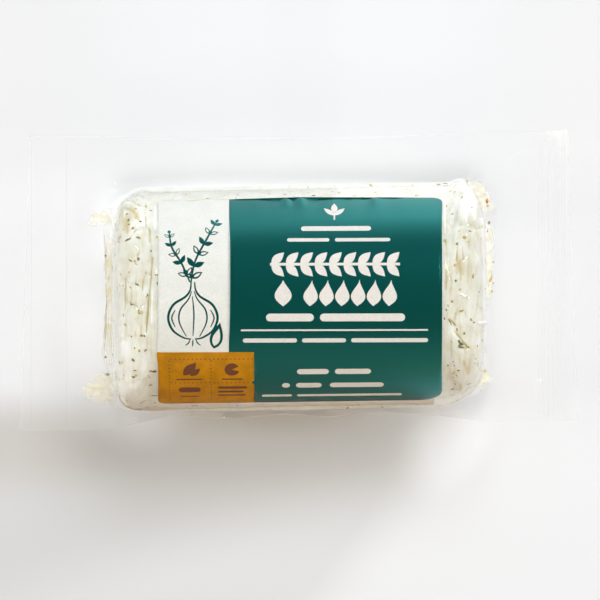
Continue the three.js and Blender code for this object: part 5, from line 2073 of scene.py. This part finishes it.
class Studio:
    """A white table under soft boxes, with a bright low background and a dark ceiling."""

    LAMPS = (
        Lamp("key", 75.0, 55.0, 0.9, 0.45, 0.3, 4.6, "#F0F6FF", polarised=True),
        Lamp("overhead", 90.0, 90.0, 1.4, 0.8, 0.6, 3.7, "#FFFDFA", polarised=True),
        Lamp("left_fill", 178.0, 28.0, 0.95, 0.3, 0.3, 2.8, "#FFFEFA", polarised=True),
        Lamp("right_fill", 12.0, 35.0, 0.95, 0.3, 0.3, 1.9, "#FFFEFB", polarised=True),
        Lamp("glint", 42.0, 60.0, 0.9, 0.16, 0.16, 0.35),
        Lamp("near_fill", 270.0, 35.0, 0.95, 0.5, 0.3, 1.3, "#FFF2E4", polarised=True),
    )
    FLOOR_HALF = 1.4
    FLOOR_COLOUR = "#D0D0D0"
    # Painted light on the table: its emitted glow rises towards the far and right sides, with painted pools of light
    # and shade round the pack.
    FLOOR_PAINTED_GLOW = (0.03, 0.24)
    PAINTED_GLOW_COLOUR = "#F7FAFF"
    PAINTED_GLOW_RISES = (
        ((0.0, 1.0), -32.0, -20.0, 1.0),
        ((0.8, -0.6), 30.0, 52.0, 1.0),
        ((0.35, -1.0), 36.0, 54.0, 0.42),
    )
    PAINTED_LIGHT_POOLS = (
        Pool((-5.0, 10.0), (41.0, 12.5), 0.0, 0.43, square=True),
        Pool((-36.0, -9.0), (16.0, 24.0), 0.0, 0.18),
        Pool((31.0, -32.0), (11.0, 17.0), -29.0, 0.16),
        Pool((-33.0, -28.0), (12.0, 9.0), 0.0, 0.12),
        Pool((0.0, 28.0), (90.0, 24.0), 0.0, -0.07),
        Pool((-62.0, 50.0), (40.0, 44.0), 0.0, -0.06),
        Pool((62.0, 50.0), (40.0, 40.0), 0.0, -0.06),
    )
    # Painted shadows: the pack's warm shade, blended into the table's colour under and to the left of it.
    PAINTED_SHADOWS = (Pool((-8.0, -23.0), (38.0, 11.0), 0.0, 0.75), Pool((-56.0, -34.0), (28.0, 13.0), 0.0, 0.3))
    PAINTED_SHADOW_COLOUR = "#B5A997"
    # The near card is a dim sheet that stands in for the shaded table in reflections: painted shade. The far cards glow
    # to give reflections of a bright backdrop.
    CARDS = (
        Card("near_painted_shade_card", ((-26.0, 1.0), (-150.0, 1.0), (-150.0, 260.0)), -60.0, 28.0, (0.36, 0.24, 0.19)),
        Card("far_glowing_card", ((26.0, 1.0), (150.0, 1.0), (150.0, 70.0)), 8.0, 90.0, (1.45, 1.45, 1.45)),
        Card("far_dim_glowing_card", ((26.0, 1.0), (150.0, 1.0), (150.0, 70.0)), -90.0, -6.0, (0.8, 0.84, 0.86)),
    )
    FAR_GLOW = 1.25
    FAR_TOP = 0.75
    NEAR_GLOW = 0.85
    CEILING = 0.04
    NEAR_TINT = (1.0, 0.8, 0.56)
    BAND_EDGES = (0.25, 0.9)
    BEYOND_BAND = 0.25

    def floor(self) -> bpy.types.Object:
        """The white table top with painted light and shadow: it glows by its own emission but for its near left part,
        more in painted pools round the pack, and a painted warm shadow darkens it under and to the left of the pack.
        """
        half = self.FLOOR_HALF
        mesh = bpy.data.meshes.new("table_top")
        mesh.from_pydata([(-half, -half, 0.0), (half, -half, 0.0), (half, half, 0.0), (-half, half, 0.0)],
                         [], [(0, 1, 2, 3)])
        material, tree = new_material("table_with_painted_light_and_shadow")
        place = add_node(tree, "ShaderNodeTexCoord").outputs["Object"]
        strongest = 0.0
        for direction, start, end, share in self.PAINTED_GLOW_RISES:
            run = add_node(tree, "ShaderNodeVectorMath", {0: place, 1: (*direction, 0.0)}, operation="DOT_PRODUCT")
            rise = add_node(tree, "ShaderNodeMapRange", {
                "Value": run.outputs["Value"], "From Min": start * MM, "From Max": end * MM, "To Max": share},
                interpolation_type="SMOOTHSTEP")
            strongest = add_node(tree, "ShaderNodeMath", {0: strongest, 1: rise.outputs[0]},
                                 operation="MAXIMUM").outputs[0]
        even = add_node(tree, "ShaderNodeMapRange", {
            "Value": strongest, "To Min": self.FLOOR_PAINTED_GLOW[0], "To Max": self.FLOOR_PAINTED_GLOW[1]})
        glow = even.outputs[0]
        # Painted pools of light and shade.
        for pool in self.PAINTED_LIGHT_POOLS:
            glow = add_node(tree, "ShaderNodeMath", {0: glow, 1: pool.share(tree, place)}).outputs[0]
        # Painted shadows of the pack.
        shade = 0.0
        for pool in self.PAINTED_SHADOWS:
            shade = add_node(tree, "ShaderNodeMath", {0: shade, 1: pool.share(tree, place)}).outputs[0]
        sheet = blend_colours(tree, shade, linear(self.FLOOR_COLOUR), linear(self.PAINTED_SHADOW_COLOUR))
        shader = add_node(tree, "ShaderNodeBsdfPrincipled", {
            "Base Color": sheet, "Roughness": 0.8, "Specular IOR Level": 0.2,
            "Emission Color": linear(self.PAINTED_GLOW_COLOUR), "Emission Strength": glow})
        add_node(tree, "ShaderNodeOutputMaterial", {"Surface": shader.outputs[0]})
        floor = make_object("table_top", mesh, [material])
        return floor

    def world(self) -> None:
        """Light from all round: brightest low down behind the pack, dimmer in front of it, dark overhead."""
        world = bpy.data.worlds.new("studio")
        world.use_nodes = True
        tree = world.node_tree
        tree.nodes.clear()
        place = add_node(tree, "ShaderNodeTexCoord").outputs["Generated"]
        parts = add_node(tree, "ShaderNodeSeparateXYZ", {0: place})
        far = add_node(tree, "ShaderNodeMapRange", {
            "Value": parts.outputs["Z"], "From Min": 0.0, "From Max": self.FAR_TOP,
            "To Min": self.FAR_GLOW, "To Max": self.CEILING}, interpolation_type="SMOOTHSTEP")
        near = add_node(tree, "ShaderNodeMapRange", {
            "Value": parts.outputs["Z"], "From Min": 0.0, "From Max": 1.0,
            "To Min": self.NEAR_GLOW, "To Max": self.CEILING})
        side = add_node(tree, "ShaderNodeMapRange", {
            "Value": parts.outputs["Y"], "From Min": -0.3, "From Max": 0.3}, interpolation_type="SMOOTHSTEP")
        warm = add_node(tree, "ShaderNodeVectorMath", {
            0: near.outputs["Result"], 1: self.NEAR_TINT}, operation="MULTIPLY")
        total = blend_colours(tree, side.outputs["Result"], warm.outputs[0], far.outputs["Result"])
        sideways = add_node(tree, "ShaderNodeMath", {0: parts.outputs["X"]}, operation="ABSOLUTE")
        band = add_node(tree, "ShaderNodeMapRange", {
            "Value": sideways.outputs["Value"], "From Min": self.BAND_EDGES[0], "From Max": self.BAND_EDGES[1],
            "To Min": 1.0, "To Max": self.BEYOND_BAND}, interpolation_type="SMOOTHSTEP")
        background = add_node(tree, "ShaderNodeBackground", {"Color": total, "Strength": band.outputs["Result"]})
        add_node(tree, "ShaderNodeOutputWorld", {"Surface": background.outputs[0]})
        bpy.context.scene.world = world

    def build(self) -> None:
        """The whole studio."""
        scene = bpy.context.scene
        scene.view_settings.view_transform = "Standard"
        scene.view_settings.look = "None"
        self.floor()
        self.world()
        for lamp in self.LAMPS:
            lamp.build()
        for card in self.CARDS:
            card.build()


def hand_over(piece: bpy.types.Object, slot: str, *nodes: str) -> None:
    """Tells the frame what a finished piece rides on and stands for.

    Args:
        piece: the finished piece.
        slot: the record's material slot; not used.
        *nodes: the CAD nodes that it stands for.
    """
    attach(piece, BODY)
    if nodes:
        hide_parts(*nodes)
    triangles = sum(len(face.vertices) - 2 for face in piece.data.polygons)
    log.info("%s: %d triangles", piece.name, triangles)


def main() -> None:
    """Builds the pack, piece by piece, and its studio."""
    noise.seed_set(NOISE_SEED)
    form = PackForm()
    plan = LabelPlan()
    fineness = Fineness()
    view = View(form)
    view.build()
    crumple = Crumple(form, plan)
    film = PouchFilm(form, crumple, fineness).build()
    cheese = Cheese(form, crumple, fineness)
    curd = cheese.build_log()
    lobes = cheese.build_squeezed()
    hand_over(film, "pouch_film", POUCH_NODE)
    hand_over(curd, "cheese", POUCH_NODE)
    hand_over(lobes, "cheese", POUCH_NODE)
    for flakes in Herbs(curd, lobes, view).build():
        hand_over(flakes, "herbs", POUCH_NODE)
    hand_over(SealRibs(film, form).build(), "pouch_film", POUCH_NODE)
    hand_over(LabelSheet(form, plan).build(), "label_print", LABEL_NODE)
    Studio().build()


if __name__ == "__main__":
    main()
